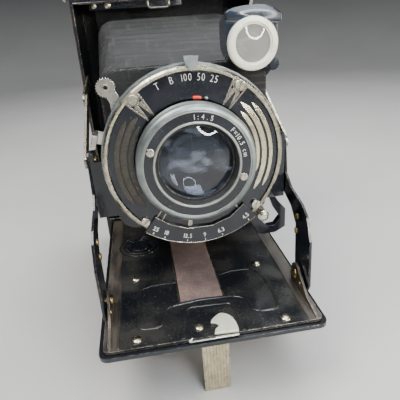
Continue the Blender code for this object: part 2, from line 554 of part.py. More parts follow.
def make_lens():
    y = FRONT_Y
    ring = [(17.6, FOCUS_FRONT_Y), (FOCUS_R, FOCUS_FRONT_Y + 1.3), (FOCUS_R, y - 74.2), (16.5, y - 74.2),
            (16.5, y - 67), (12.4, y - 67), (12.4, y - 76.7), (13.2, FOCUS_FRONT_Y + 0.6),
            (13.4, FOCUS_FRONT_Y)]
    solid("focus_ring", satin(), turned_mesh("Y", (0, AXIS_Z), ring, 48))
    front = [(0, y - 78.2), (6, y - 77.8), (10, y - 77), (12.1, y - 76.4), (12.1, y - 73), (0, y - 72.3)]
    solid("front_lens", glass(), turned_mesh("Y", (0, AXIS_Z), front, 32))
    cell = [(10, y - 61.2), (11.6, y - 61.2), (11.6, y - 58.5), (14, y - 58.5), (14, y - 57.3),
            (11.6, y - 57.3), (11.6, y - 54.6), (10, y - 54.6)]
    solid("rear_cell", inner_black(), turned_mesh("Y", (0, AXIS_Z), cell, 36))
    rear = [(0, y - 59.4), (9.7, y - 58.8), (9.7, y - 56.2), (0, y - 55.0)]
    solid("rear_lens", glass(), turned_mesh("Y", (0, AXIS_Z), rear, 28))


# ---------------------------------------------------------------- finder

def make_finder():
    """A brilliant finder: housing, front lens with its ring, 45 degree mirror and top lens."""
    x, z, front, back = FINDER_X, FINDER_Z, FINDER_FRONT_Y, FINDER_BACK_Y
    bowl = arc((x, z), 7.8, 180, 360, 12)
    crown = [(7.8, 4.6), (9, 6), (9, 7.4), (5.6, 9.8), (1.5, 10.5), (-5.6, 10), (-8.2, 8.8), (-7.8, 5.6)]
    flat = [(7.8, 3), (7.8, 4.2), (7.8, 6.2), (5.4, 6.2), (1.5, 6.2), (-5.4, 6.2), (-7.8, 6.2), (-7.8, 4.2)]
    housing_front = bowl + [(x + u, z + v) for u, v in crown]
    housing_back = bowl + [(x + u, z + v) for u, v in flat]
    lug = link_outline(((x + 5, z - 4), (FINDER_PIVOT_X, FINDER_PIVOT_Z)), 2.0)
    solid("finder_housing", enamel(), loft_mesh("Y", housing_front, front, housing_back, back - 1),
          add=[prism_mesh("Y", lug, back - 4.4, back - 1.4)],
          cut=[rod_mesh("Y", (x, z), 5.6, front - 2, back - 3, 24),
               box_mesh(x - 4.8, x + 4.8, front + 1.2, back - 2.8, z, z + 14),
               rod_mesh("Y", (FINDER_PIVOT_X, FINDER_PIVOT_Z), 1.2, back - 6, back, 14)])
    bezel = [(5.5, front - GAP), (7.7, front - GAP), (7.7, front - 1.1), (7.2, front - 1.5),
             (5.5, front - 1.5)]
    solid("finder_bezel", nickel(), turned_mesh("Y", (x, z), bezel, 32))
    lens = [(0, front - 1.4), (5.2, front - 0.7), (5.2, front + 0.8), (0, front + 0.8)]
    solid("finder_front_lens", glass(), turned_mesh("Y", (x, z), lens, 24))
    solid("finder_top_lens", glass(), box_mesh(x - 4.5, x + 4.5, front + 1.5, back - 3.1, z + 6.2, z + 7.4))
    half = 3.0
    sheet = [(-half, -half), (half, half), (half - 0.5, half + 0.5), (-half - 0.5, -half + 0.5)]
    centre_y = (front + back) / 2 - 0.6
    sheet = [(centre_y + u, z + v) for u, v in sheet]
    solid("finder_mirror", mirror(), prism_mesh("X", sheet, x - 3.4, x + 3.4))
    pin = [(0, back - 5.2), (1.6, back - 5.2), (1.6, back - 4.7), (0.9, back - 4.7), (0.9, back + 1.6),
           (0, back + 1.6)]
    solid("finder_pin", nickel(), turned_mesh("Y", (FINDER_PIVOT_X, FINDER_PIVOT_Z), pin, 16))


# ---------------------------------------------------------------- bellows

def make_bellows():
    """A hollow tapered tube; each station is its place along Y, half width, lowest and highest Z."""
    stations = [(FILM_Y - 1.8, 31.0, 38.0, 121.0), (FRONT_Y + 2.0, 30.2, 42.0, 123.0),
                (BOARD_Y + BOARD_THICK + GAP, 27.8, 51.0, 108.0)]
    rings = [(along, half, low, high, 0.0) for along, half, low, high in stations]
    rings += [(along, half, low, high, 1.2) for along, half, low, high in reversed(stations)]
    bm = bmesh.new()
    loops = []
    for along, half, low, high, inset in rings:
        corner = 7.0 - inset
        outline = rounded_rectangle(inset - half, half - inset, low + inset, high - inset, (corner,) * 4, 4)
        loops.append([bm.verts.new(axis_point("Y", u, v, along)) for u, v in outline])
    count = len(loops[0])
    for ring, following in zip(loops, loops[1:] + loops[:1]):
        for i in range(count):
            j = (i + 1) % count
            bm.faces.new((ring[i], ring[j], following[j], following[i]))
    solid("bellows", leather(), bm)


# ---------------------------------------------------------------- bodies that move

def body_tree():
    """Body name, the body it hangs on, a point on its joint axis, and its nodes."""
    lens_axis = (0, BOARD_Y, AXIS_Z)
    blade = (0, BOARD_Y - 4, AXIS_Z + BLADE_PIVOT_R)
    return [
        ("front_door", None, (0, HINGE_Y, HINGE_Z),
         ["door_shell", "door_plate", "door_pad", "tripod_bush", "door_catch", "foot_pin"]),
        ("foot", "front_door", (0, FOOT_Y, FOOT_PIN_Z), ["foot"]),
        ("side_arms", "front_door", (0, ARM_FOOT_Y, ARM_FOOT_Z),
         ["arm_left", "arm_right", "arm_foot_rivet_left", "arm_foot_rivet_right", "arm_head_rivet_left",
          "arm_head_rivet_right"]),
        ("lens_standard", "side_arms", (0, ARM_HEAD_Y, ARM_HEAD_Z),
         ["standard", "strut_lock", "shutter_case", "shutter_face", "shutter_rim", "iris_ring",
          "rear_cell", "rear_lens", "finder_pin"]),
        ("front_cell", "lens_standard", lens_axis, ["front_lens"]),
        ("focus_ring", "front_cell", lens_axis, ["focus_ring"]),
        ("speed_ring", "lens_standard", lens_axis, ["speed_ring"]),
        ("cocking_lever", "lens_standard", lens_axis, ["cocking_lever"]),
        ("release_lever", "lens_standard", lens_axis, ["release_lever"]),
        ("aperture_lever", "lens_standard", lens_axis, ["aperture_lever"]),
        ("blade_left", "lens_standard", blade, ["shutter_blade_left"]),
        ("blade_right", "lens_standard", blade, ["shutter_blade_right"]),
        ("finder", "lens_standard", (FINDER_PIVOT_X, FINDER_BACK_Y, FINDER_PIVOT_Z),
         ["finder_housing", "finder_bezel", "finder_front_lens", "finder_top_lens", "finder_mirror"]),
        ("stay_front", "lens_standard", (0, ARM_HEAD_Y, ARM_HEAD_Z),
         ["stay_front_left", "stay_front_right"]),
        ("stay_rear", "stay_front", (0, STAY_KNEE_Y, STAY_KNEE_Z), ["stay_rear_left", "stay_rear_right"]),
        ("back", None, (0, BACK_HINGE_Y, BACK_HINGE_Z),
         ["back_door", "red_window", "pressure_plate", "pressure_spring"]),
        ("back_latch", "back", (LATCH_X, LATCH_Y, 27), ["back_latch"]),
        ("window_slide", "back", (0, BACK_Y, WINDOW_Z), ["window_slide"]),
        ("winding_key", None, (0, SPOOL_Y, SPOOL_HIGH_Z), ["winding_key"]),
        ("takeup_spool", None, (0, SPOOL_Y, SPOOL_HIGH_Z), ["takeup_spool"]),
        ("feed_spool", None, (0, SPOOL_Y, SPOOL_LOW_Z), ["feed_spool"]),
        ("roller_lower", None, (0, ROLLER_Y, ROLLER_LOW_Z), ["film_roller_lower"]),
        ("roller_upper", None, (0, ROLLER_Y, ROLLER_HIGH_Z), ["film_roller_upper"]),
        ("release_button", None, (-SIDE, BUTTON_Y, BUTTON_Z), ["door_release_button"]),
    ]


def parent_bodies():
    """Each moving body gets an empty on its joint axis, and its pieces hang on that empty."""
    empties = {}
    for name, parent, point, nodes in body_tree():
        empty = bpy.data.objects.new(f"joint_{name}", None)
        bpy.context.scene.collection.objects.link(empty)
        place = Vector(point) * MM
        empties[name] = (empty, place)
        if parent:
            empty.parent = empties[parent][0]
            empty.location = place - empties[parent][1]
        else:
            empty.location = place
        for node in nodes:
            piece = bpy.data.objects[node]
            piece.parent = empty
            piece.matrix_parent_inverse = Matrix.Translation(-place)


clear_scene()
make_body()
make_film_gate()
make_rollers_and_spools()
make_body_fittings()
make_back()
make_door()
make_foot()
make_arms()
make_stays()
make_standard()
make_shutter()
make_controls()
make_lens()
make_finder()
make_bellows()
parent_bodies()
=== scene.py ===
"""Looks of the folding roll-film camera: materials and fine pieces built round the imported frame.

Frame: +Z up, -Y out of the lens, +X to the right of someone looking at the lens.
Sizes are in millimetres and are turned into metres when a mesh is made.
"""

import math

import bmesh
import bpy
import numpy as np
from mathutils import Matrix, Vector


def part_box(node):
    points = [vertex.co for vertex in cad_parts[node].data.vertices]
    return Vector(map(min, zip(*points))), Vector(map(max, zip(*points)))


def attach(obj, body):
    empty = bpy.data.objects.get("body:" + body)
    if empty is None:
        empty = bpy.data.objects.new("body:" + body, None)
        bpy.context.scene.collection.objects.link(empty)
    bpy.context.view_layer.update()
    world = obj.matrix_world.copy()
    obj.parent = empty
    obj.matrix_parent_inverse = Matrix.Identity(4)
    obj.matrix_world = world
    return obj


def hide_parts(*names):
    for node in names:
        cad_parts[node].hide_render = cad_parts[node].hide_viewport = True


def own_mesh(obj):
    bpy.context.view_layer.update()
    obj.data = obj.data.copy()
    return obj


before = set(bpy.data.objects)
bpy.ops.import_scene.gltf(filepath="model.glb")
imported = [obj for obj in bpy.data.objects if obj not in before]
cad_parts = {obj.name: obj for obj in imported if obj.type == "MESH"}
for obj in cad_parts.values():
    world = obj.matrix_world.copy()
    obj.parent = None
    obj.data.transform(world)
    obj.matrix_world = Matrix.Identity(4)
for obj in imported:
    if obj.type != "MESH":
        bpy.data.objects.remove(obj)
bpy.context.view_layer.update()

MM = 0.001


def edges_of(node):
    """Lowest and highest corner of a CAD node, in millimetres."""
    low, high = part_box(node)
    return [c / MM for c in low], [c / MM for c in high]


# Driving places, read from the frame.
FACE_LOW, FACE_HIGH = edges_of("shutter_face")
RIM_LOW, RIM_HIGH = edges_of("shutter_rim")
FOCUS_LOW, FOCUS_HIGH = edges_of("focus_ring")
CLOTH_LOW, CLOTH_HIGH = edges_of("bellows")
BEZEL_LOW, BEZEL_HIGH = edges_of("finder_bezel")
FOOT_LOW = edges_of("foot")[0]
BRACKET_LOW = edges_of("catch_bracket")[0]
CATCH_LOW, CATCH_HIGH = edges_of("door_catch")
BUSH_LOW, BUSH_HIGH = edges_of("tripod_bush")
STANDARD_TOP_Z = edges_of("standard")[1][2]

AXIS_Z = (FACE_LOW[2] + FACE_HIGH[2]) / 2
FACE_Y, RIM_Y, FOCUS_Y = FACE_LOW[1], RIM_LOW[1], FOCUS_LOW[1]
BODY_FRONT_Y = edges_of("body_shell")[0][1] + 2.6
BOARD_Y = BODY_FRONT_Y - 60.0
DOOR_TOP_Z = CATCH_LOW[2] - 0.3

# Pieces on the shutter face start just inside it, at FACE_SUNK.
FACE_SUNK = FACE_Y + 0.02
SCALE_Y = RIM_Y - 0.35
KEY_AXIS = (-3.6, 144.0)
TRIM_Z = 129.8
GROOVE_END_Y = -80.0
PLEATS = 15
LIT_POINT = Vector((0, -0.05, 0.08))


# Materials

class Look:
    """A Principled material whose colour, roughness and bump come from nodes."""

    def __init__(self, name):
        self.material = bpy.data.materials.new(name)
        self.material.use_nodes = True
        self.tree = self.material.node_tree
        self.shader = self.tree.nodes["Principled BSDF"]
        self.place = self.node("ShaderNodeTexCoord").outputs["Object"]

    def node(self, kind, **settings):
        made = self.tree.nodes.new(kind)
        for key, value in settings.items():
            setattr(made, key, value)
        return made

    def feed(self, socket, value):
        if isinstance(value, bpy.types.NodeSocket):
            self.tree.links.new(value, socket)
        elif isinstance(value, tuple) and len(value) == 3 and socket.type == "RGBA":
            socket.default_value = (*value, 1.0)
        else:
            socket.default_value = value

    def set(self, **inputs):
        """Sets or links the shader's inputs, with _ for a space in the name."""
        for name, value in inputs.items():
            self.feed(self.shader.inputs[name.replace("_", " ")], value)

    def math(self, operation, a, b=0.0, clamp=False):
        made = self.node("ShaderNodeMath", operation=operation, use_clamp=clamp)
        self.feed(made.inputs[0], a)
        self.feed(made.inputs[1], b)
        return made.outputs[0]

    def plus(self, a, b, clamp=False):
        return self.math("ADD", a, b, clamp)

    def times(self, first, *others):
        """The product of values and sockets."""
        for other in others:
            first = self.math("MULTIPLY", first, other)
        return first

    def texture(self, kind, scale, seed, **settings):
        """A texture over the object's own coordinates; the seed moves it."""
        mapping = self.node("ShaderNodeMapping")
        self.feed(mapping.inputs["Vector"], self.place)
        mapping.inputs["Scale"].default_value = scale
        mapping.inputs["Location"].default_value = (seed, seed * 1.7, seed * 0.6)
        made = self.node(kind, **settings)
        self.feed(made.inputs["Vector"], mapping.outputs[0])
        made.inputs["Scale"].default_value = 1.0
        return made

    def noise(self, per_mm, detail=4.0, stretch=(1, 1, 1), seed=0.0, distortion=0.0):
        """Noise with per_mm features in a millimetre, drawn out along an axis by a small stretch."""
        made = self.texture("ShaderNodeTexNoise", [per_mm / MM * s for s in stretch], seed)
        made.inputs["Detail"].default_value = detail
        made.inputs["Distortion"].default_value = distortion
        return made.outputs["Fac"]

    def cells(self, per_mm):
        """Distance to the nearest edge of an irregular cell, with per_mm cells in a millimetre."""
        made = self.texture("ShaderNodeTexVoronoi", [per_mm / MM] * 3, 0.0, feature="DISTANCE_TO_EDGE")
        return made.outputs["Distance"]

    def level(self, value, low, high, out_low=0.0, out_high=1.0):
        """A value spread from low..high to out_low..out_high, and clamped there."""
        made = self.node("ShaderNodeMapRange", clamp=True)
        self.feed(made.inputs["Value"], value)
        limits = {"From Min": low, "From Max": high, "To Min": out_low, "To Max": out_high}
        for name, number in limits.items():
            self.feed(made.inputs[name], number)
        return made.outputs[0]

    def patches(self, low, high, *noise, **more):
        """Noise spread so that it is 0 below low and 1 above high."""
        return self.level(self.noise(*noise, **more), low, high)

    def between(self, coordinate, low, high):
        """A coordinate spread to 0..1 from one place to another, both in millimetres."""
        return self.level(coordinate, low * MM, high * MM)

    def blend(self, factor, a, b):
        made = self.node("ShaderNodeMix", data_type="RGBA")
        self.feed(made.inputs[0], factor)
        self.feed(made.inputs[6], a)
        self.feed(made.inputs[7], b)
        return made.outputs[2]

    def part(self, vector, axis):
        made = self.node("ShaderNodeSeparateXYZ")
        self.feed(made.inputs[0], vector)
        return made.outputs[axis]

    def coordinate(self, axis):
        return self.part(self.place, axis)

    def facing(self, axis, low=0.6, high=0.9):
        """1 where the surface faces along +axis or -axis."""
        normal = self.node("ShaderNodeTexCoord").outputs["Normal"]
        return self.level(self.math("ABSOLUTE", self.part(normal, axis)), low, high)

    def edge_wear(self, radius, low=0.03, high=0.25):
        """1 along outer and inner edges that are sharper than the radius, in millimetres."""
        bevel = self.node("ShaderNodeBevel", samples=6)
        bevel.inputs["Radius"].default_value = radius * MM
        flat = self.node("ShaderNodeNewGeometry").outputs["Normal"]
        dot = self.node("ShaderNodeVectorMath", operation="DOT_PRODUCT")
        self.feed(dot.inputs[0], bevel.outputs[0])
        self.feed(dot.inputs[1], flat)
        return self.level(self.math("SUBTRACT", 1.0, dot.outputs["Value"]), low, high)

    def bump(self, height, depth, soften=0.0):
        """Bump of that depth in millimetres, on edges rounded by soften millimetres."""
        made = self.node("ShaderNodeBump")
        made.inputs["Strength"].default_value = 1.0
        made.inputs["Distance"].default_value = depth * MM
        self.feed(made.inputs["Height"], height)
        if soften:
            bevel = self.node("ShaderNodeBevel", samples=4)
            bevel.inputs["Radius"].default_value = soften * MM
            self.feed(made.inputs["Normal"], bevel.outputs[0])
        self.feed(self.shader.inputs["Normal"], made.outputs[0])
        return self


looks = {}


def shared(build):
    """Each material is made once."""
    def once(*args):
        key = (build.__name__, *args)
        if key not in looks:
            looks[key] = build(*args).material
        return looks[key]
    return once


@shared
def enamel(wear=0.5, dust=0.3, blue=0.0):
    """Gloss black stove enamel with a blue cast, rubbed to brown metal on its edges; blue lifts the black
    towards blue-grey as a painted reflection of the sky.
    """
    look = Look(f"black enamel {wear} {dust} {blue}")
    cloud = look.noise(0.12, seed=3)
    # blue adds a painted reflection of the pale sky to the black; only the finder's enamel uses it.
    deep = (0.003 + 0.009 * blue, 0.004 + 0.014 * blue, 0.007 + 0.020 * blue)
    light = (0.006 + 0.014 * blue, 0.008 + 0.021 * blue, 0.014 + 0.028 * blue)
    black = look.blend(look.level(cloud, 0.35, 0.65), deep, light)
    specks = look.patches(0.60, 0.72, 1.6, 6, seed=11)
    film = look.patches(0.45, 0.75, 0.22, 6, seed=5)
    dirt = look.times(look.math("MAXIMUM", specks, look.times(film, 0.25)), dust)
    dusty = look.blend(dirt, black, (0.085, 0.08, 0.07))
    rubbed = look.patches(0.70 - 0.25 * wear, 0.84 - 0.25 * wear, 0.5, 5, seed=8)
    worn = look.times(look.edge_wear(0.5), rubbed)
    rough = look.plus(look.level(cloud, 0.3, 0.7, 0.10, 0.20), look.times(film, 0.12))
    look.set(Base_Color=look.blend(worn, dusty, (0.36, 0.29, 0.20)), Metallic=look.times(worn, 0.9),
             Roughness=rough, Coat_Weight=0.15, Coat_Roughness=0.06)
    return look.bump(look.noise(0.9, 3, seed=2), 0.012, 0.25)


@shared
def inner_black():
    """Flat black anti-reflection paint, greyed by dust and scratched through on edges."""
    look = Look("flat black paint")
    dust = look.level(look.noise(0.3, 6, seed=21), 0.5, 0.8, 0.0, 0.5)
    colour = look.blend(dust, (0.010, 0.010, 0.011), (0.055, 0.052, 0.047))
    worn = look.times(look.edge_wear(0.4), look.patches(0.5, 0.62, 0.6, 4))
    look.set(Base_Color=look.blend(worn, colour, (0.32, 0.26, 0.18)), Metallic=worn,
             Roughness=look.level(look.noise(0.8, 3), 0.3, 0.7, 0.5, 0.75))
    return look.bump(look.noise(2.5, 3), 0.02, 0.15)


@shared
def nickel(tarnish=0.4, warmth=0.5):
    """Old nickel plate: warm, brown where it has tarnished, with fine scratches; a tarnish of 1 or more is
    painted shade that darkens and browns it all.
    """
    look = Look(f"aged nickel {tarnish} {warmth}")
    light = 0.80 - 0.45 * tarnish
    bright = (light, light * (0.97 - 0.05 * warmth), light * (0.90 - 0.22 * warmth))
    shaded = tuple(c * shade for c, shade in zip(bright, (0.72, 0.69, 0.62)))
    cloud = look.patches(0.35, 0.7, 0.35, 6, seed=4, distortion=0.4)
    base = look.blend(cloud, bright, shaded)
    spots = look.patches(0.72 - 0.25 * tarnish, 0.84 - 0.2 * tarnish, 1.1, 6, seed=9)
    # A tarnish of 1 or more is painted shade, not tarnish: it darkens the whole plate and browns most of it.
    brown = (0.16, 0.115, 0.065) if tarnish < 1 else (0.060, 0.050, 0.042)
    rough = look.plus(look.level(cloud, 0.0, 1.0, 0.2, 0.36), look.times(spots, 0.3))
    look.set(Base_Color=look.blend(look.times(spots, 0.8), base, brown),
             Metallic=look.level(spots, 0.0, 1.0, 1.0, 0.55), Roughness=rough)
    scratches = look.noise(3.0, 4, stretch=(1, 1, 0.12), seed=6)
    return look.bump(look.plus(scratches, look.times(spots, 0.5)), 0.012, 0.18)


@shared
def steel():
    """Bare steel, streaked by turning and rusted in spots."""
    look = Look("bare steel")
    streak = look.noise(2.0, 4, stretch=(0.1, 1, 1))
    rust = look.patches(0.58, 0.75, 0.8, 6, seed=14)
    look.set(Base_Color=look.blend(rust, (0.50, 0.50, 0.48), (0.22, 0.13, 0.07)),
             Metallic=look.level(rust, 0, 1, 1.0, 0.5), Roughness=look.level(streak, 0.3, 0.7, 0.28, 0.5))
    return look.bump(streak, 0.01, 0.12)


@shared
def brass():
    """Brass, tarnished to brown in clouds."""
    look = Look("brass rivet")
    tarnish = look.patches(0.45, 0.7, 1.5, 5, seed=17)
    look.set(Base_Color=look.blend(tarnish, (0.72, 0.50, 0.21), (0.26, 0.16, 0.07)), Metallic=1.0,
             Roughness=look.level(tarnish, 0, 1, 0.2, 0.48))
    return look.bump(look.noise(3.0, 3), 0.01, 0.15)


@shared
def satin(pale=0.0):
    """Satin plated alloy, finely turned, with handling marks; a higher pale is creamier."""
    look = Look(f"satin alloy {pale}")
    fine = look.noise(6.0, 2, seed=1)
    cloud = look.patches(0.35, 0.7, 0.3, 6, seed=12)
    marks = look.patches(0.66, 0.76, 1.4, 6, seed=19)
    dull = tuple(c + 0.50 * pale * t for c, t in zip((0.20, 0.225, 0.22), (1.0, 0.92, 0.66)))
    clear = tuple(c + 0.50 * pale * t for c, t in zip((0.31, 0.34, 0.33), (1.0, 0.93, 0.68)))
    colour = look.blend(cloud, dull, clear)
    look.set(Base_Color=look.blend(look.times(marks, 1.0 - 0.7 * pale), colour, (0.12, 0.12, 0.10)),
             Metallic=0.85 - 0.6 * pale, Roughness=look.level(fine, 0.3, 0.7, 0.34, 0.48))
    return look.bump(fine, 0.02, 0.2)


@shared
def lettering(red=False):
    """Filled paint of the numbers and the index, with small chips."""
    look = Look("red paint" if red else "white paint")
    chips = look.patches(0.60, 0.68, 2.2, 5, seed=15)
    paint = (0.72, 0.045, 0.02) if red else (0.62, 0.62, 0.57)
    look.set(Base_Color=look.blend(chips, paint, (0.2, 0.1, 0.08) if red else (0.22, 0.21, 0.19)),
             Roughness=look.level(chips, 0, 1, 0.4, 0.7))
    return look.bump(look.noise(4.0, 2), 0.02)


@shared
def bellows_cloth():
    """Black leathercloth gone grey with rubbing, scuffed both ways and speckled on its corners."""
    look = Look("worn bellows cloth")
    cloud = look.patches(0.3, 0.7, 0.06, 5, seed=31)
    base = look.blend(cloud, (0.010, 0.010, 0.011), (0.026, 0.026, 0.025))
    across = look.patches(0.52, 0.76, 0.8, 5, stretch=(0.06, 1, 1), seed=33)
    along = look.patches(0.55, 0.78, 0.8, 5, stretch=(1, 0.06, 0.2), seed=34)
    scuffs = look.times(look.math("MAXIMUM", across, along), 0.45)
    scuffed = look.blend(scuffs, base, (0.085, 0.083, 0.078))
    speckle = look.patches(0.48, 0.6, 1.6, 6, seed=35)
    corner = look.times(look.edge_wear(1.2, 0.01, 0.12), speckle)
    look.set(Base_Color=look.blend(look.times(corner, 0.7), scuffed, (0.20, 0.19, 0.17)),
             Roughness=look.level(cloud, 0, 1, 0.6, 0.75), Specular_IOR_Level=0.22)
    grain = look.level(look.cells(1.6), 0.0, 0.25)
    return look.bump(look.plus(look.times(grain, 0.7), look.noise(3.5, 4, seed=36)), 0.05)


def grained(look, cover, plain, plain_rough):
    """Leathercloth with rubbed grain where cover is 1, and the plain finish elsewhere."""
    grain = look.level(look.cells(0.85), 0.0, 0.22)
    rubbed = look.level(look.noise(0.1, 5, seed=41), 0.45, 0.75, 0.1, 0.7)
    leather = look.blend(look.times(grain, rubbed), (0.008, 0.008, 0.008), (0.035, 0.034, 0.032))
    look.set(Base_Color=look.blend(cover, plain, leather),
             Roughness=look.level(cover, 0, 1, plain_rough, 0.5))
    pebbles = look.plus(look.times(grain, 0.8), look.times(look.noise(2.5, 4), 0.4))
    return look.bump(look.times(pebbles, cover), 0.16, 0.35)


@shared
def body_case(shell):
    """The case: leathercloth inside a border of worn enamel on each flat side."""
    look = Look(f"case of the {shell}")
    x, y, z = (look.coordinate(i) for i in range(3))
    low_y, high_y = (-15.5, 7.6) if shell == "body" else (9.9, 30.0)
    sides = look.facing(0)
    ends = look.math("SUBTRACT", 1.0, sides)
    deep = look.times(look.between(y, low_y, low_y + 0.3), look.between(y, high_y + 0.3, high_y))
    tall = look.times(look.between(z, 2.2, 2.5), look.between(z, 155.8, 155.5))
    front = look.between(look.math("ABSOLUTE", x), 38.4, 38.1)
    if shell == "body":
        opening = look.plus(look.between(z, 131.2, 131.5), look.between(z, 22.8, 22.5), clamp=True)
        front = look.times(front, opening)
    outer = look.between(look.math("ABSOLUTE", x), 39.2, 39.4)
    cover = look.math("MAXIMUM", look.times(sides, deep, tall, outer), look.times(front, ends))
    cloud = look.patches(0.35, 0.7, 0.15, 5, seed=44)
    black = look.blend(cloud, (0.007, 0.008, 0.012), (0.018, 0.019, 0.024))
    worn = look.times(look.edge_wear(0.9), look.patches(0.42, 0.55, 0.45, 6, seed=45))
    plain = look.blend(worn, black, (0.34, 0.26, 0.18))
    look.set(Metallic=look.math("MULTIPLY", worn, look.math("SUBTRACT", 0.9, cover), clamp=True))
    return grained(look, cover, plain, 0.2)


@shared
def door_outside():
    """The door's outer plate: leathercloth below, enamel on the lip."""
    look = Look("door outside")
    x, y, z = (look.coordinate(i) for i in range(3))
    under = look.between(z, 25.62, 25.56)
    inset = look.between(look.math("ABSOLUTE", x), 35.8, 35.5)
    ends = look.times(look.between(y, -115, -114.7), look.between(y, -21.5, -21.8))
    cloud = look.patches(0.35, 0.7, 0.15, 5)
    black = look.blend(cloud, (0.004, 0.005, 0.007), (0.009, 0.010, 0.013))
    lilac = look.times(look.edge_wear(0.5), look.patches(0.56, 0.68, 0.5, 6, seed=47))
    plain = look.blend(lilac, black, (0.34, 0.31, 0.33))
    look.set(Metallic=look.times(lilac, 0.8), Coat_Weight=0.3, Coat_Roughness=0.1)
    return grained(look, look.times(under, inset, ends), plain, 0.17)


@shared
def door_inside():
    """The door's inner plate: gloss black in the middle, rubbed brown along both sides."""
    look = Look("door inside")
    side = look.between(look.math("ABSOLUTE", look.coordinate(0)), 30.6, 31.4)
    patches = look.patches(0.36, 0.6, 0.3, 6, stretch=(1, 0.25, 1), seed=51)
    brown = look.blend(patches, (0.012, 0.011, 0.010), (0.060, 0.048, 0.036))
    cloud = look.patches(0.4, 0.65, 0.09, 5, seed=52)
    black = look.blend(cloud, (0.007, 0.008, 0.010), (0.024, 0.023, 0.021))
    dust = look.level(look.noise(1.5, 6, seed=53), 0.6, 0.75, 0.0, 0.35)
    middle = look.blend(dust, black, (0.14, 0.12, 0.09))
    worn = look.times(look.edge_wear(0.5), look.patches(0.4, 0.55, 0.6, 5, seed=54))
    colour = look.blend(look.times(side, 0.8), middle, brown)
    rough = look.plus(look.level(cloud, 0, 1, 0.16, 0.34), look.times(side, 0.2))
    look.set(Base_Color=look.blend(worn, colour, (0.36, 0.30, 0.22)), Metallic=look.times(worn, 0.8),
             Roughness=rough)
    return look.bump(look.noise(0.7, 4, seed=55), 0.03, 0.25)


@shared
def brown_leather():
    """The thin pad on the door: pinkish brown, stained and cracked."""
    look = Look("stained pad leather")
    soot = look.patches(0.38, 0.66, 0.16, 6, seed=61, distortion=0.6)
    fine = look.patches(0.35, 0.7, 1.2, 6, seed=62)
    pink = look.blend(fine, (0.13, 0.082, 0.070), (0.24, 0.155, 0.135))
    ochre = look.patches(0.60, 0.70, 0.1, 4, seed=63)
    stained = look.blend(look.times(ochre, 0.6), pink, (0.30, 0.19, 0.07))
    look.set(Base_Color=look.blend(look.times(soot, 0.65), stained, (0.075, 0.05, 0.045)),
             Roughness=look.level(fine, 0, 1, 0.6, 0.85), Sheen_Weight=0.1)
    cracks = look.level(look.cells(0.9), 0.0, 0.1)
    return look.bump(look.plus(cracks, look.noise(2.0, 5)), 0.08)


@shared
def beech():
    """Turned beech of the film spools."""
    look = Look("beech spool")
    rings = look.noise(0.8, 5, stretch=(0.08, 1, 1), seed=71)
    look.set(Base_Color=look.blend(look.level(rings, 0.35, 0.65), (0.50, 0.33, 0.17), (0.33, 0.20, 0.10)),
             Roughness=look.level(rings, 0.3, 0.7, 0.5, 0.65))
    return look.bump(rings, 0.05)


@shared
def lens_glass(tint="clear"):
    """Glass with a film of haze and dust; clear glass has a faint blue cast."""
    look = Look(f"{tint} glass")
    glass, dirt, cover, least = {
        "clear": ((0.62, 0.70, 0.86), (0.10, 0.12, 0.11), 0.11, 0.06),
        "ruby": ((0.55, 0.012, 0.01), (0.1, 0.01, 0.01), 0.1, 0.06),
        "finder": ((0.80, 0.78, 0.72), (0.20, 0.17, 0.13), 0.6, 0.6)}[tint]
    haze = look.patches(0.56, 0.64, 0.22, 4, stretch=(0.6, 1, 1.1), seed=81, distortion=0.8)
    dust = look.patches(0.68, 0.75, 2.5, 6, seed=83)
    film = look.math("MAXIMUM", look.level(haze, 0, 1, least * cover, cover), look.times(dust, 0.06))
    look.set(Base_Color=look.blend(film, glass, dirt), Transmission_Weight=look.math("SUBTRACT", 1.0, film),
             Roughness=look.level(haze, 0, 1, 0.005, 0.04), IOR=1.52, Coat_Weight=0.2, Coat_Roughness=0.02)
    return look


@shared
def silvered():
    """The finder's mirror, spotted with age."""
    look = Look("finder mirror")
    spots = look.patches(0.62, 0.72, 1.2, 5, seed=91)
    look.set(Base_Color=look.blend(spots, (0.86, 0.87, 0.88), (0.4, 0.37, 0.3)), Metallic=1.0,
             Roughness=look.level(spots, 0, 1, 0.04, 0.3))
    return look


@shared
def floor_finish():
    """The pale floor, which darkens up the far wall."""
    look = Look("pale floor")
    cloud = look.noise(0.01, 5, seed=95)
    pale = look.blend(cloud, (0.38, 0.37, 0.355), (0.46, 0.45, 0.435))
    height = look.level(look.coordinate(2), 0.02, 0.30)
    look.set(Base_Color=look.blend(height, pale, (0.045, 0.047, 0.052)), Roughness=0.7)
    return look.bump(look.noise(0.6, 5), 0.05)


def lit(name, strength, colour):
    material = bpy.data.materials.new(name)
    material.use_nodes = True
    shader = material.node_tree.nodes["Principled BSDF"]
    shader.inputs["Emission Color"].default_value = (*colour, 1.0)
    shader.inputs["Emission Strength"].default_value = strength
    return material


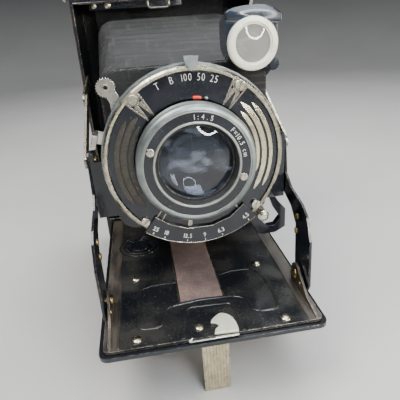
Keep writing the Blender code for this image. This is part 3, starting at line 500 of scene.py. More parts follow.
def paint_frame():
    """Gives the CAD nodes their materials."""
    finishes = {
        enamel(0.5, 0.3): ["catch_bracket", "shutter_case", "shutter_face", "strut_lock", "standard",
                           "tripod_bush"],
        enamel(0.75, 0.25): ["arm_left", "arm_right"],
        # The finder's bluer enamel carries a painted reflection of the sky.
        enamel(0.35, 0.1, 1.0): ["finder_housing"],
        enamel(0.4, 0.1): ["finder_pin"],
        body_case("body"): ["body_shell"],
        body_case("back"): ["back_door"],
        door_outside(): ["door_shell"],
        door_inside(): ["door_plate"],
        inner_black(): ["film_gate", "pressure_plate", "iris_ring", "shutter_blade_left",
                        "shutter_blade_right", "rear_cell"],
        nickel(0.65, 0.7): ["shutter_rim"],
        nickel(0.35, 0.6): ["winding_key", "door_release_button", "window_slide", "back_latch",
                            "door_catch"],
        nickel(0.25, 0.2): ["cocking_lever", "release_lever", "aperture_lever"],
        nickel(0.3, 1.0): ["foot"],
        nickel(0.9, 0.6): ["stay_front_left", "stay_front_right", "stay_rear_left", "stay_rear_right"],
        satin(): ["speed_ring"],
        steel(): ["door_hinge_pin", "back_hinge_pin", "film_roller_lower", "film_roller_upper",
                  "feed_pin_left", "feed_pin_right", "takeup_pin_right", "pressure_spring", "foot_pin"],
        brass(): ["arm_foot_rivet_left", "arm_foot_rivet_right", "arm_head_rivet_left",
                  "arm_head_rivet_right"],
        lens_glass("clear"): ["front_lens", "rear_lens"],
        lens_glass("finder"): ["finder_front_lens", "finder_top_lens"],
        lens_glass("ruby"): ["red_window"],
        silvered(): ["finder_mirror"],
        brown_leather(): ["door_pad"],
        beech(): ["feed_spool", "takeup_spool"],
    }
    for material, names in finishes.items():
        for name in names:
            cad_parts[name].data.materials.clear()
            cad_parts[name].data.materials.append(material)


# Mesh helpers

def axis_point(axis, u, v, along):
    """A point from two coordinates across an axis and one along it."""
    return {"X": (along, u, v), "Y": (u, along, v), "Z": (u, v, along)}[axis]


def arc(centre, radius, start, end, steps):
    angles = np.radians(np.linspace(start, end, steps + 1))
    return [(centre[0] + radius * math.cos(a), centre[1] + radius * math.sin(a)) for a in angles]


def polar(radius, degrees):
    """A point (x, z) at that radius and angle round the lens axis."""
    return radius * math.cos(math.radians(degrees)), AXIS_Z + radius * math.sin(math.radians(degrees))


def join_rings(bm, pairs):
    """Faces between each pair of rings of vertices."""
    for ring, following in pairs:
        for i, corner in enumerate(ring):
            j = (i + 1) % len(ring)
            bm.faces.new((corner, ring[j], following[j], following[i]))


def from_base(base, profile):
    """A profile of (radius, depth) points with its depths counted from a base."""
    return [(radius, base + depth) for radius, depth in profile]


def skin(loops, closed=False):
    """A solid through loops of points (x, y, z); all loops have the same number of points."""
    bm = bmesh.new()
    rings = [[bm.verts.new(point) for point in loop] for loop in loops]
    pairs = list(zip(rings, rings[1:]))
    if closed:
        pairs.append((rings[-1], rings[0]))
    else:
        bm.faces.new(rings[0])
        bm.faces.new(rings[-1])
    join_rings(bm, pairs)
    return bm


def loft(axis, rings):
    """A solid through rings of (outline, along); all outlines have the same number of points."""
    return skin([[axis_point(axis, u, v, along) for u, v in outline] for outline, along in rings])


def prism(axis, outline, low, high):
    return loft(axis, [(outline, low), (outline, high)])


def turned(axis, centre, profile, steps=64):
    """Turns a profile of (radius, along) points about an axis, from pole to pole or as a ring."""
    bm = bmesh.new()
    u0, v0 = centre
    points = [bm.verts.new(axis_point(axis, u0 + radius, v0, along)) for radius, along in profile]
    edges = [bm.edges.new(pair) for pair in zip(points, points[1:])]
    if profile[0][0] > 0:
        edges.append(bm.edges.new((points[-1], points[0])))
    direction = {"X": (1, 0, 0), "Y": (0, 1, 0), "Z": (0, 0, 1)}[axis]
    bmesh.ops.spin(bm, geom=points + edges, cent=axis_point(axis, u0, v0, 0.0), axis=direction,
                   angle=math.tau, steps=steps, use_merge=True)
    return bm


def round_lens(profile, steps):
    """A profile turned about the lens axis."""
    return turned("Y", (0, AXIS_Z), profile, steps)


def dome(axis, centre, base, radius, height, steps=20):
    """A rivet head that stands on base; a negative height points it the other way."""
    profile = [(0, base - height * 0.2), (radius, base - height * 0.2), (radius, base + height * 0.25)]
    profile += [(radius * math.cos(a), base + height * (0.25 + 0.75 * math.sin(a))) for a in (0.5, 0.9, 1.25)]
    return turned(axis, centre, profile + [(0, base + height)], steps)


def tube(points, radius, closed=False, sides=8):
    """A round bead along points (x, y, z)."""
    places = [Vector(p) for p in points]
    count = len(places)
    loops = []
    for i, place in enumerate(places):
        before = places[i - 1] if closed or i else place
        after = places[(i + 1) % count] if closed or i < count - 1 else place
        heading = (after - before).normalized()
        across = Vector((0.13, 0.27, 1.0)) if abs(heading.z) < 0.9 else Vector((1, 0.1, 0))
        side = heading.cross(across).normalized()
        up = side.cross(heading)
        turn = [math.tau * k / sides for k in range(sides)]
        loops.append([place + side * (radius * math.cos(a)) + up * (radius * math.sin(a)) for a in turn])
    return skin(loops, closed)


def slotted_head(axis, centre, base, radius, height, angle, slot=0.4):
    """A screw head: a low disc with two raised halves that leave a slot between them."""
    foot = base - 0.3 if height > 0 else base + 0.3
    step = base + height * 0.45
    parts = [turned(axis, centre, [(0, foot), (radius, foot), (radius, step), (0, step)], 24)]
    start = math.degrees(math.asin(slot / 2 / radius))
    half = arc((0, 0), radius, start, 180 - start, 10)
    chamfered = [(u * 0.88, v if v < slot else v * 0.92) for u, v in half]
    for side in (0, 180):
        spin = math.radians(angle + side)
        lower, upper = ([(centre[0] + u * math.cos(spin) - v * math.sin(spin),
                          centre[1] + u * math.sin(spin) + v * math.cos(spin)) for u, v in outline]
                        for outline in (half, chamfered))
        parts.append(loft(axis, [(lower, base), (lower, base + height * 0.8), (upper, base + height)]))
    return parts


def sector(inner, outer, start, end, steps):
    """An outline between two radii and two angles round the lens axis."""
    return arc((0, AXIS_Z), outer, start, end, steps) + arc((0, AXIS_Z), inner, end, start, steps)


def glyphs(text, size, radius, middle, y, outward=True, squeeze=0.75, gap=0.16, weight=0.0):
    """Raised characters along a circle round the lens axis, read from the front."""
    parts, widths = [], []
    for character in text:
        curve = bpy.data.curves.new("glyph", "FONT")
        curve.body = character
        curve.size = size
        curve.extrude = 0.05
        curve.offset = weight * size
        curve.resolution_u = 3
        holder = bpy.data.objects.new("glyph", curve)
        mesh = holder.to_mesh()
        bm = bmesh.new()
        bm.from_mesh(mesh)
        holder.to_mesh_clear()
        bpy.data.objects.remove(holder)
        bpy.data.curves.remove(curve)
        bmesh.ops.scale(bm, vec=(squeeze, 1, 1), verts=bm.verts)
        xs = [v.co.x for v in bm.verts] or [0.0]
        widths.append((max(xs) - min(xs) or 0.3 * size) + gap * size)
        bmesh.ops.translate(bm, vec=(-(min(xs) + max(xs)) / 2, -size * 0.35, 0), verts=bm.verts)
        parts.append(bm)
    run = -sum(widths) / 2
    for bm, width in zip(parts, widths):
        step = math.degrees((run + width / 2) / radius)
        run += width
        angle = middle - step if outward else middle + step
        x, z = polar(radius, angle)
        tilt = math.radians(angle - 90 if outward else angle + 90)
        place = Matrix.Translation((x, y, z)) @ Matrix.Rotation(-tilt, 4, "Y")
        bmesh.ops.transform(bm, matrix=place @ Matrix.Rotation(math.pi / 2, 4, "X"), verts=bm.verts)
    return parts


def add_object(name, bm, material):
    mesh = bpy.data.meshes.new(name)
    bm.to_mesh(mesh)
    bm.free()
    mesh.shade_smooth()
    mesh.materials.append(material)
    made = bpy.data.objects.new(name, mesh)
    bpy.context.scene.collection.objects.link(made)
    return made


def piece(name, parts, material, body, bevel=0.0, smooth=35):
    """Joins meshes in millimetres into one visual object that rides a body."""
    joined = bmesh.new()
    for part in parts if isinstance(parts, list) else [parts]:
        bmesh.ops.remove_doubles(part, verts=part.verts, dist=1e-4)
        bmesh.ops.recalc_face_normals(part, faces=part.faces)
        scratch = bpy.data.meshes.new("scratch")
        part.to_mesh(scratch)
        part.free()
        joined.from_mesh(scratch)
        bpy.data.meshes.remove(scratch)
    bmesh.ops.scale(joined, vec=(MM, MM, MM), verts=joined.verts)
    made = add_object(name, joined, material)
    made.data.set_sharp_from_angle(angle=math.radians(smooth))
    if bevel:
        rounding = made.modifiers.new("rounding", "BEVEL")
        rounding.width = bevel * MM
        rounding.segments = 2
        rounding.limit_method = "ANGLE"
        rounding.angle_limit = math.radians(40)
    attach(made, body)
    return made


# Shutter face

SCREW_R = 26.9
SCALE_R = 29.8
SCREW_ANGLES = (130.1, 55.7, 227.5, 317.5)
SPEEDS = (("T", 112.4), ("B", 102.2), ("100", 91.8), ("50", 82), ("25", 73.1))
STOPS = (("25", 236.4), ("18", 244.8), ("12.5", 260.6), ("9", 273.1), ("6.3", 285.4), ("4.5", 306.2))


def louvre(radius, half_width, start, end):
    """A strip of the shutter face whose inner edge stands up, narrow at both ends."""
    loops = []
    for share in np.linspace(0, 1, 33):
        taper = min(1.0, 0.25 + 9 * min(share, 1 - share))
        half = half_width * taper
        (x0, z0), (x1, z1) = (polar(radius + side * half, start + (end - start) * share) for side in (-1, 1))
        loops.append([(x0, FACE_SUNK, z0), (x0, FACE_Y - 0.1 - 0.3 * taper, z0), (x1, FACE_Y - 0.1, z1),
                      (x1, FACE_SUNK, z1)])
    return skin(loops)


def strip(a, b, half_width, low, high):
    """A flat bar between two points (x, z), between two Y values."""
    along = (Vector(b) - Vector(a)).normalized()
    side = Vector((-along.y, along.x)) * half_width
    corners = [Vector(a) - side, Vector(b) - side, Vector(b) + side, Vector(a) + side]
    return prism("Y", [tuple(c) for c in corners], low, high)


def build_shutter_screws():
    screws = []
    for angle, slot_angle in zip(SCREW_ANGLES, (20, 70, 45, 75)):
        screws += slotted_head("Y", polar(SCREW_R, angle), FACE_Y - 0.2, 1.55, -0.85, slot_angle)
    piece("face_screws", screws, nickel(0.3, 0.3), "lens_standard")

    brackets = []
    for middle in SCREW_ANGLES[:2]:
        pad = [polar(27.95, middle + a) for a in (-5.6, -2.8, 0, 2.8, 5.6)]
        pad += [polar(26.2, middle + 4.9), polar(24.5, middle), polar(26.2, middle - 4.9)]
        brackets.append(prism("Y", pad, FACE_Y - 0.16, FACE_SUNK))
        for side in (-1, 1):
            outer, inner = polar(27.4, middle + side * 5.1), polar(19.2, middle + side * 3.4)
            brackets.append(strip(outer, inner, 0.24, FACE_Y - 0.2, FACE_SUNK))
            web = [polar(25.6, middle), polar(19.6, middle + side * 2.6), polar(24.8, middle + side * 3.6)]
            brackets.append(prism("Y", web, FACE_Y - 0.12, FACE_SUNK))
    piece("screw_brackets", brackets, nickel(0.9, 0.4), "lens_standard", bevel=0.05)


def build_gills():
    """Three louvres on each side, as (radius, half width, start, end); the left ones take a painted-shade
    nickel and the right ones a painted-highlight nickel.
    """
    gills = {"left": ((24.7, 0.8, 144.5, 212.3), (22.6, 1.0, 137.3, 219), (20.5, 0.65, 143, 208)),
             "right": ((25.2, 0.65, -27.5, 41), (23.0, 0.85, -33.2, 47.5), (20.9, 0.65, -18, 42.4))}
    for side, rows in gills.items():
        # Left: dark brown nickel as painted shade; right: bright creamy nickel as painted highlight, for the
        # light that comes from the right.
        finish = nickel(1.5, 0.4) if side == "left" else nickel(0.1, 1.0)
        piece(f"gills_{side}", [louvre(*row) for row in rows], finish, "lens_standard", bevel=0.05)


def build_aperture_scale():
    """The raised crescent below the lens, its bright border and the bridges that carry it."""
    inner_edge = [polar(r, a) for r, a in ((23.5, 231), (23.9, 245), (24.3, 260), (24.3, 280), (24.0, 296),
                                           (23.2, 312))]
    crescent = arc((0, AXIS_Z), SCALE_R, 231, 312, 40) + inner_edge[::-1]
    piece("aperture_scale", prism("Y", crescent, SCALE_Y, FACE_SUNK), enamel(0.2, 0.15), "lens_standard",
          bevel=0.12)
    outer_edge = arc((0, AXIS_Z), SCALE_R, 232, 311, 40)
    edges = [tube([(x, SCALE_Y, z) for x, z in inner_edge], 0.15),
             tube([(x, SCALE_Y + 0.12, z) for x, z in outer_edge], 0.16)]
    piece("scale_border", edges, nickel(0.4, 0.3), "lens_standard")
    bridges = [strip(polar(19.6, a), polar(23.7, a), half, FACE_Y - 0.15, FACE_SUNK)
               for a, half in ((233, 0.2), (238, 0.2), (262, 0.7), (306, 0.25))]
    piece("scale_bridges", bridges, nickel(0.7, 0.3), "lens_standard")


def build_dial_numbers():
    marks, stops = [], []
    for text, angle in SPEEDS:
        marks += glyphs(text, 3.1, 25.75, angle, FACE_Y - 0.06, squeeze=0.72, weight=-0.012)
        marks.append(prism("Y", sector(27.5, 28.1, angle - 0.3, angle + 0.3, 1), FACE_Y - 0.1, FACE_SUNK))
    for text, angle in STOPS:
        stops += glyphs(text, 2.2, 27.1, angle, SCALE_Y - 0.06, outward=False, squeeze=0.85, gap=0.1,
                        weight=0.012)
        tick = sector(28.6, 29.3, angle - 0.25, angle + 0.25, 1)
        stops.append(prism("Y", tick, SCALE_Y - 0.1, SCALE_Y + 0.02))
    piece("dial_numbers", marks, lettering(), "lens_standard", smooth=20)
    piece("scale_numbers", stops, lettering(), "lens_standard", smooth=20)
    index = prism("Y", sector(19.15, 20.2, 80.5, 88.5, 4), FACE_Y - 0.7, FACE_SUNK)
    piece("distance_index", index, lettering(True), "lens_standard", bevel=0.4)
    peg = dome("Y", polar(19.7, 76.0), FACE_Y, 0.6, -0.9)
    piece("infinity_peg", peg, nickel(0.3, 0.2), "lens_standard")


def build_case_grooves():
    """Turned grooves round the shutter case, behind its rim."""
    around = arc((0, AXIS_Z), 26.98, 0, 360, 48)[:-1]
    depths = [RIM_HIGH[1] + 0.5 + k * 0.9 for k in range(9)]
    grooves = [tube([(x, y, z) for x, z in around], 0.12, closed=True, sides=6)
               for y in depths if y < GROOVE_END_Y]
    piece("case_grooves", grooves, enamel(0.75, 0.25), "lens_standard")


# Lens

def build_focus_ring():
    """The focusing ring with three grooves, the name band inside it and the cone down to the glass."""
    front, back = FOCUS_Y, FOCUS_HIGH[1]
    barrel = from_base(front, [(17.0, 0.3), (17.05, 0.08), (17.3, 0), (17.9, 0.2), (18.5, 0.65), (18.85, 1.2),
                               (18.98, 1.9)])
    for k in range(3):
        barrel += from_base(front + 2.3 + k * 1.1, [(18.98, 0), (18.84, 0.14), (18.84, 0.34), (18.98, 0.48)])
    barrel += from_base(back, [(18.98, -7.4), (16.6, -7.3), (16.4, -0.2), (12.6, -0.2)])
    barrel += from_base(front, [(12.6, 3.3), (13.3, 1.0), (17.0, 1.0)])
    ring = piece("focus_barrel", round_lens(barrel, 96), satin(), "focus_ring")
    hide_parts("focus_ring")
    outer = [(16.55, 0.4), (16.6, 0.1), (16.8, 0.02), (16.98, 0.1), (17.02, 0.4)]
    inner = [(13.1, 0.6), (13.15, 0.12), (13.5, 0), (13.85, 0.12), (13.9, 0.6)]
    edges = [round_lens(from_base(front, profile), 96) for profile in (outer, inner)]
    piece("name_ring_edges", edges, satin(0.15), "focus_ring")
    band = from_base(front, [(13.9, 0.3), (16.55, 0.3), (16.55, 0.9), (13.9, 0.9)])
    piece("name_ring", round_lens(band, 96), enamel(0.2, 0.5), "focus_ring")
    cone = from_base(front, [(13.1, 0.5), (13.2, 0.9), (12.7, 3.2), (12.3, 3.6), (12.2, 3.0), (12.5, 2.0),
                             (12.6, 1.8), (12.9, 1.0)])
    piece("lens_cone", round_lens(cone, 96), inner_black(), "focus_ring")
    text = glyphs("1:4.5", 2.2, 15.25, 80, front + 0.26, squeeze=0.8, gap=0.42)
    text += glyphs("F=10.5 cm", 2.2, 15.25, 25, front + 0.26, squeeze=0.8, gap=0.24)
    piece("lens_numbers", text, lettering(), "focus_ring", smooth=20)
    screws = []
    for angle in (157.5, -19.5):
        screws += slotted_head("Y", polar(15.2, angle), front + 0.25, 1.25, -0.3, angle - 50, slot=0.3)
    piece("lock_screws", screws, nickel(0.4, 0.3), "focus_ring")


def biconvex(front, front_radius, back, back_radius, rim, steps):
    """A lens profile from pole to rim to pole; each face bulges at its middle."""
    profile = [(r, front + r * r / (2 * front_radius)) for r in np.linspace(0, rim, steps)]
    return profile + [(r, back - r * r / (2 * back_radius)) for r in np.linspace(rim, 0, steps)]


def build_front_glass():
    profile = biconvex(FOCUS_Y + 1.8, 41, FOCUS_Y + 8.0, 34, 12.05, 13)
    glass = piece("front_element", round_lens(profile, 72), lens_glass("clear"), "front_cell")
    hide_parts("front_lens")
    section = from_base(FOCUS_Y, [(11.75, 3.3), (12.1, 3.1), (12.1, 3.6), (11.75, 3.7)])
    piece("front_lens_rim", round_lens(section, 64), inner_black(), "front_cell")


# Controls

def build_cocking_teeth():
    """The toothed rim and the pierced middle of the cocking lever's round head."""
    low, high = edges_of("cocking_lever")
    x, z = polar(34.6, 136.5)
    teeth = []
    for k in range(22):
        a = math.tau * k / 22
        corners = ((2.65, -0.09), (3.05, -0.045), (3.05, 0.045), (2.65, 0.09))
        tip = [(x + r * math.cos(a + turn), z + r * math.sin(a + turn)) for r, turn in corners]
        teeth.append(prism("Y", tip, low[1] + 0.02, high[1] - 0.02))
    section = from_base(low[1], [(0.72, -0.12), (1.05, -0.12), (1.15, 0.05), (0.72, 0.05)])
    collar = turned("Y", (x, z), section, 20)
    piece("cocking_teeth", [*teeth, collar], nickel(0.25, 0.2), "cocking_lever")


def build_speed_pointer():
    shield = [polar(r, a) for r, a in ((31.3, 92.0), (31.3, 84.8), (30.2, 85.8), (29.0, 86.4), (27.6, 88.3),
                                       (29.0, 90.4), (30.2, 91.0))]
    # satin(1.4) is a near-white, almost unmetallic copy of the alloy: partly the pointer's pale plating,
    # partly a painted highlight for the front light it catches.
    piece("speed_pointer", prism("Y", shield, RIM_Y - 0.5, RIM_Y - 0.05), satin(1.4), "speed_ring",
          bevel=0.12)


def build_release_knurl():
    low, high = edges_of("release_lever")
    ribs = []
    for k in range(6):
        x, z = polar(32.6, 160.9 + k * 1.35)
        ribs.append(tube([(x, low[1] + 0.4, z), (x, high[1] - 0.9, z)], 0.2, sides=6))
    piece("release_knurl", ribs, nickel(0.35, 0.8), "release_lever")


def build_aperture_collar():
    front = edges_of("aperture_lever")[0][1]
    peg = polar(33.4, -46)
    section = from_base(front, [(1.6, 0.5), (2.05, 0.7), (2.05, 1.5), (1.6, 1.7)])
    caps = [turned("Y", peg, section, 20), dome("Y", peg, front, 1.45, -0.35)]
    piece("aperture_collar", caps, nickel(0.25, 0.2), "aperture_lever")


# Finder

def build_finder():
    """The arched hood, the face below it, and the ring and glass of the front lens."""
    x, z = (BEZEL_LOW[0] + BEZEL_HIGH[0]) / 2, (BEZEL_LOW[2] + BEZEL_HIGH[2]) / 2
    front = edges_of("finder_housing")[0][1]
    crown = [(-7.7, 6.9), (-8.1, 8.7), (-7.2, 9.5), (-5.4, 10.0), (-2.0, 10.4), (1.5, 10.5), (4.2, 10.2),
             (6.4, 9.4), (8.2, 8.2), (9.0, 7.2), (9.0, 5.6)]

    def hood_outline(shrink):
        return [(x + 0.5 + (u - 0.5) * shrink, z + 8.0 + (v - 8.0) * shrink) for u, v in crown]

    rings = [(hood_outline(shrink), front + depth)
             for shrink, depth in ((0.90, -1.35), (0.97, -1.2), (1.0, -0.8), (1.0, 0.6))]
    # The hood and the face below it use the bluer enamel, whose extra blue is a painted reflection of the
    # sky.
    piece("finder_hood", loft("Y", rings), enamel(0.35, 0.1, 1.0), "finder", bevel=0.15, smooth=50)
    face = [*arc((x, z), 7.9, 180, 360, 28), (x + 7.9, z + 5.2), (x - 7.7, z + 6.4)]
    inner = [(x + (u - x) * 0.94, z + (v - z) * 0.96) for u, v in face]
    lip = loft("Y", [(inner, front - 0.28), (face, front - 0.05), (face, front + 0.9)])
    piece("finder_face", lip, enamel(0.35, 0.1, 1.0), "finder", bevel=0.12)
    y = BEZEL_LOW[1]
    section = from_base(y, [(5.3, 1.25), (5.3, 0.35), (5.45, 0.2), (5.75, 0.2), (5.85, 0.02), (6.0, -0.1),
                            (7.2, -0.12), (7.5, 0.05), (7.7, 0.4), (7.72, 1.25)])
    ring = piece("finder_ring", turned("Y", (x, z), section, 64), satin(1.0), "finder")
    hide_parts("finder_bezel")
    profile = biconvex(y - 0.05, 26, y + 2.1, 17, 5.25, 9)
    glass = piece("finder_glass", turned("Y", (x, z), profile, 48), lens_glass("finder"), "finder")
    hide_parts("finder_front_lens")


# Bellows

def rounded_box(half, low, high, corner, steps=5):
    points = []
    for (u, v), start in (((-half, low), 180), ((half, low), 270), ((half, high), 0), ((-half, high), 90)):
        centre = (u + corner * (1 if u < 0 else -1), v + corner * (1 if v == low else -1))
        points += arc(centre, corner, start, start + 90, steps)
    return points


def build_bellows():
    """A tapered leathercloth tube in flat pleats; the valleys lie inside the CAD outline."""
    back, front = CLOTH_HIGH[1], CLOTH_LOW[1]
    places = (-back, 16.0, -front)
    widths = (31.0, 30.2, 27.8)
    lows = (38.0, 42.0, 51.0)
    highs = (121.0, 123.0, 108.0)
    rings, inner = [], []
    for share in np.linspace(0, 1, PLEATS * 4 + 1):
        y = back + (front - back) * share
        wave = (0.5 - 0.5 * math.cos(math.tau * share * PLEATS)) ** 1.4
        inset = 0.1 + wave * (0.75 + 0.12 * math.sin(share * 23.0))
        half, low, high = (np.interp(-y, places, row) for row in (widths, lows, highs))
        outline = rounded_box(half - inset, low + inset, high - inset, 7.0 + 0.6 * wave)
        rings.append([(u, y, v) for u, v in outline])
        inner.append([(u * 0.975, y, AXIS_Z + (v - AXIS_Z) * 0.98) for u, v in outline])
    cloth = skin(rings + inner[::-1], closed=True)
    made = piece("bellows_folds", cloth, bellows_cloth(), "body", smooth=60)
    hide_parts("bellows")
    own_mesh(made)


def build_front_panel():
    """The upper half of the lens board is covered with the same cloth, cut round the shutter."""
    half, top, corner, hole, rise = 27.4, STANDARD_TOP_Z - 0.3, 6.0, 27.15, 4.0
    low = AXIS_Z + rise
    start = math.degrees(math.asin(rise / hole))
    inner = arc((0, AXIS_Z), hole, start, 180 - start, 36)
    outer = [(half, low), *arc((half - corner, top - corner), corner, 0, 90, 8),
             *arc((corner - half, top - corner), corner, 90, 180, 8), (-half, low)]
    panel = prism("Y", [*outer, *inner[::-1]], BOARD_Y - 0.75, BOARD_Y - 0.02)
    piece("front_panel", panel, bellows_cloth(), "lens_standard", bevel=0.25)


# Door

def build_door_rivets():
    places = ((-25.4, -77.5), (-25.4, -111.5), (23.8, -112.2), (23.4, -78.6))
    rivets = [dome("Z", at, DOOR_TOP_Z, 1.8, 0.9, 24) for at in places]
    rivets.append(dome("Z", (-5.0, -110.3), DOOR_TOP_Z, 1.6, 0.8, 24))
    piece("door_rivets", rivets, nickel(0.35, 0.8), "front_door")


def build_door_embossing():
    """Beads pressed into the inner plate: a pocket at the catch, a wave round it, two cups and the sides."""
    def bead(points, radius=0.7, sink=0.35):
        return tube([(x, y, DOOR_TOP_Z - sink) for x, y in points], radius, sides=12)

    pocket = [(-10.6, -114.6), (-9.9, -109.1), (-8.9, -104.0), *arc((-5.8, -102.2), 2.9, 160, 90, 4),
              (2.4, -99.7), *arc((5.8, -102.8), 2.8, 80, 10, 4), (8.9, -108.5), (9.2, -114.8)]
    wave = [(-22.9, -84.8), (-24.8, -87.4), (-25.0, -99.3), *arc((-21.8, -104.2), 3.1, 190, 262, 5),
            *arc((-19.4, -104.4), 2.8, 275, 350, 5), (-16.0, -100.0), (-14.2, -97.7), (-11.2, -97.0),
            (-2.4, -95.9), (8.5, -96.4), (12.0, -97.7), (13.8, -100.2),
            *arc((17.7, -103.6), 3.2, 190, 265, 5), *arc((20.9, -103.8), 3.1, 275, 355, 5), (24.4, -97.6),
            (23.7, -90.2), (22.0, -83.6), (19.8, -81.2)]
    cups = ([(-10.2, -83.4), (-14.2, -83.2), (-19.6, -83.4), (-22.9, -84.8)],
            [(7.2, -82.4), (12.1, -80.9), (19.8, -81.2)])
    beads = [bead(pocket), bead(wave), *(bead(cup, 0.55) for cup in cups)]
    beads += [bead([(side * 31.2, -22.5), (side * 31.2, -114.4)], 0.4, 0.1) for side in (-1, 1)]
    piece("door_embossing", beads, door_inside(), "front_door", smooth=60)


def build_catch_plate():
    """The hooked plate that the door shuts with."""
    outline = [(-0.6, -114.9), (0.1, -112.9), (1.6, -111.6), (0.7, -110.3), (-1.0, -109.6), (-0.3, -108.2),
               (0.9, -107.0), (2.1, -106.1), (3.1, -105.7), (4.4, -106.1), (5.7, -107.1), (6.7, -108.7),
               (7.2, -110.8), (7.4, -113.0), (7.3, -115.2)]
    plate = prism("Z", outline, CATCH_LOW[2] - 0.25, CATCH_HIGH[2] - 0.1)
    made = piece("catch_plate", plate, satin(0.8), "front_door", bevel=0.2)
    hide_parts("door_catch")


def build_bush_rings():
    """The stepped dish round the tripod bush, seen from inside the door."""
    middle = ((BUSH_LOW[0] + BUSH_HIGH[0]) / 2, (BUSH_LOW[1] + BUSH_HIGH[1]) / 2)
    rings = []
    for radius, lift in ((8.6, 0.05), (6.6, 0.2), (4.4, 0.5)):
        around = arc(middle, radius, 0, 360, 40)[:-1]
        rings.append(tube([(x, y, DOOR_TOP_Z + lift) for x, y in around], 0.35, closed=True))
    piece("bush_rings", rings, enamel(0.5, 0.6), "front_door")


def build_bare_lip():
    """Metal worn bare on the door's lip below the catch, with a small bright white curl beside it."""
    z = DOOR_TOP_Z
    bare = [(-9.5, -115.4), (7.4, -115.4), (7.2, -116.2), (-8.8, -116.2)]
    lip = prism("Z", bare, z - 0.5, z - 0.05)
    piece("bare_lip", lip, nickel(0.2, 0.0), "front_door", bevel=0.12)
    curl = tube([(-8.9, -115.9, z), (-8.2, -115.5, z + 0.2), (-7.8, -114.9, z + 0.1)], 0.22)
    piece("lip_curl", curl, lettering(), "front_door")


def build_foot_ribs():
    y, low, high = FOOT_LOW[1] + 0.75, 2.2, 20.6
    ribs = [tube([(x, y, low), (x, y, high)], 0.42) for x in (-3.85 + k * 1.1 for k in range(8))]
    piece("foot_ribs", ribs, nickel(0.1, 1.0), "foot")


def build_arm_rivets():
    knees = [dome("X", at, side * 35.0, 1.25, -side * 0.5)
             for side in (-1, 1) for at in ((-91.4, 54.5), (-90.9, 48.5))]
    piece("knee_rivets", knees, brass(), "side_arms")
    ears = [dome("X", (y, 31.3), side * 33.6, 1.1, -side * 0.45) for side in (-1, 1) for y in (-99.5, -91.8)]
    piece("ear_rivets", ears, brass(), "front_door")


# Body

def build_catch_bracket():
    """Rivets and the wire loop on the bracket at the top of the opening, and the trim above it."""
    y, z = BRACKET_LOW[1], BRACKET_LOW[2]
    rivets = [dome("Y", (-24.1, z + 1.6), y, 1.5, -0.6), dome("Y", (-30.0, z + 1.5), y, 1.1, -0.4)]
    piece("bracket_rivets", rivets, nickel(0.7, 0.8), "body")
    loop = [(-6.8, z + 3), (-6.8, z + 0.9), *arc((-5.4, z + 0.9), 1.4, 180, 270, 5),
            *arc((1.0, z + 0.9), 1.4, 270, 360, 5), (2.4, z + 3)]
    wire = tube([(u, y - 0.5, v) for u, v in loop], 0.45)
    piece("catch_wire", wire, nickel(0.9, 0.2), "body")
    trim = tube([(x, BODY_FRONT_Y + 0.1, TRIM_Z) for x in (-38.4, 38.4)], 0.35)
    piece("opening_trim", trim, enamel(0.9, 0.3), "body")


def build_key():
    """The knurled rim of the winding key and the washer under it."""
    x, (y, z) = edges_of("winding_key")[0][0] + 4.6, KEY_AXIS
    grips = []
    for k in range(40):
        a = math.tau * k / 40
        v, w = y + 7.9 * math.cos(a), z + 7.9 * math.sin(a)
        grips.append(tube([(x - 1.6, v, w), (x + 1.6, v, w)], 0.22, sides=5))
    piece("key_knurl", grips, nickel(0.35, 0.6), "winding_key")
    section = [(2.8, -40.35), (8.6, -40.35), (8.8, -39.95), (2.8, -39.95)]
    piece("key_washer", turned("X", KEY_AXIS, section, 48), nickel(0.5, 0.5), "body")


# Stage

def stage_mesh(name, bm, material):
    made = add_object(name, bm, material)
    return made


def build_floor():
    """A pale floor that curves up into a far wall all round."""
    profile = [(0.001, -0.0002), (0.3, -0.0002), (0.8, -0.0002)]
    bends = np.radians((15, 30, 45, 60, 75, 90))
    profile += [(0.8 + 0.5 * math.sin(a), 0.5 - 0.5002 * math.cos(a)) for a in bends]
    profile.append((1.3, 1.1))
    around = np.linspace(0, math.tau, 49)[:-1]
    bowl = bmesh.new()
    rings = [[bowl.verts.new((r * math.cos(a), r * math.sin(a), z)) for a in around] for r, z in profile]
    bowl.faces.new(rings[0])
    join_rings(bowl, zip(rings, rings[1:]))
    stage_mesh("floor", bowl, floor_finish())


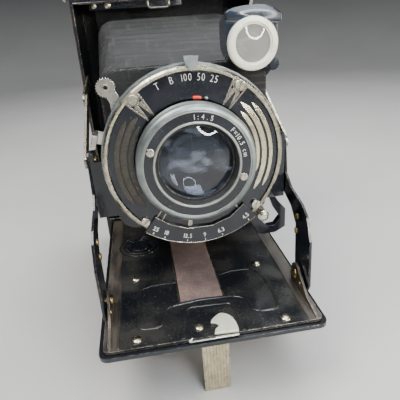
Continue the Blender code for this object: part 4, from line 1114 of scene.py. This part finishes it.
def build_lamps():
    """Four soft lamps, a pale sky, and a ring lamp that the lenses reflect as arcs."""
    world = bpy.data.worlds.new("studio")
    bpy.context.scene.world = world
    world.use_nodes = True
    world.node_tree.nodes["Background"].inputs[0].default_value = (0.60, 0.66, 0.76, 1.0)
    world.node_tree.nodes["Background"].inputs[1].default_value = 0.25
    lamps = (("key", (-0.22, -0.16, 0.60), 0.30, 5.0, (1.0, 0.98, 0.95)),
             ("top", (0.16, 0.14, 0.62), 0.40, 5.0, (0.93, 0.97, 1.0)),
             ("front", (0.16, -0.52, 0.56), 0.40, 4.5, (0.80, 0.90, 1.0)),
             ("side", (0.55, -0.34, 0.22), 0.26, 2.6, (1.0, 0.93, 0.80)))
    for name, place, size, energy, colour in lamps:
        light = bpy.data.lights.new(name, "AREA")
        light.size = size
        light.energy = energy
        light.color = colour
        lamp = bpy.data.objects.new(name, light)
        lamp.location = place
        lamp.rotation_euler = (LIT_POINT - Vector(place)).to_track_quat("-Z", "Y").to_euler()
        bpy.context.scene.collection.objects.link(lamp)

    circle = arc((0, 0), 60, 0, 360, 48)[:-1]
    ring = tube([(x * MM, 0, z * MM) for x, z in circle], 5 * MM, closed=True)
    lamp = stage_mesh("ring_lamp", ring, lit("ring lamp", 60.0, (1.0, 0.99, 0.96)))
    lamp.visible_camera = False
    lamp.location = (0.104, -0.33, 0.186)
    lamp.rotation_euler = Vector((0.368, -0.872, 0.348)).to_track_quat("Y", "Z").to_euler()


def place_camera():
    """The camera stands close in front and above, turned and tilted as a hand-held one is."""
    turn, dip, roll = (math.radians(a) for a in (7.27, 24.1, -3.96))
    forward = Vector((math.sin(turn) * math.cos(dip), math.cos(turn) * math.cos(dip), -math.sin(dip)))
    right = Vector((math.cos(turn), -math.sin(turn), 0))
    up = right.cross(forward)
    level_right = right * math.cos(roll) + up * math.sin(roll)
    level_up = up * math.cos(roll) - right * math.sin(roll)
    data = bpy.data.cameras.new("camera")
    data.lens = 36.4
    data.sensor_width = 36.0
    camera = bpy.data.objects.new("camera", data)
    facing = Matrix((level_right, level_up, -forward)).transposed().to_4x4()
    camera.matrix_world = Matrix.Translation(Vector((-15.0, -214.1, 120.7)) * MM) @ facing
    bpy.context.scene.collection.objects.link(camera)
    bpy.context.scene.camera = camera


paint_frame()
build_shutter_screws()
build_gills()
build_aperture_scale()
build_dial_numbers()
build_case_grooves()
build_focus_ring()
build_front_glass()
build_cocking_teeth()
build_speed_pointer()
build_release_knurl()
build_aperture_collar()
build_finder()
build_bellows()
build_front_panel()
build_door_rivets()
build_door_embossing()
build_catch_plate()
build_bush_rings()
build_bare_lip()
build_foot_ribs()
build_arm_rivets()
build_catch_bracket()
build_key()
build_floor()
build_lamps()
place_camera()
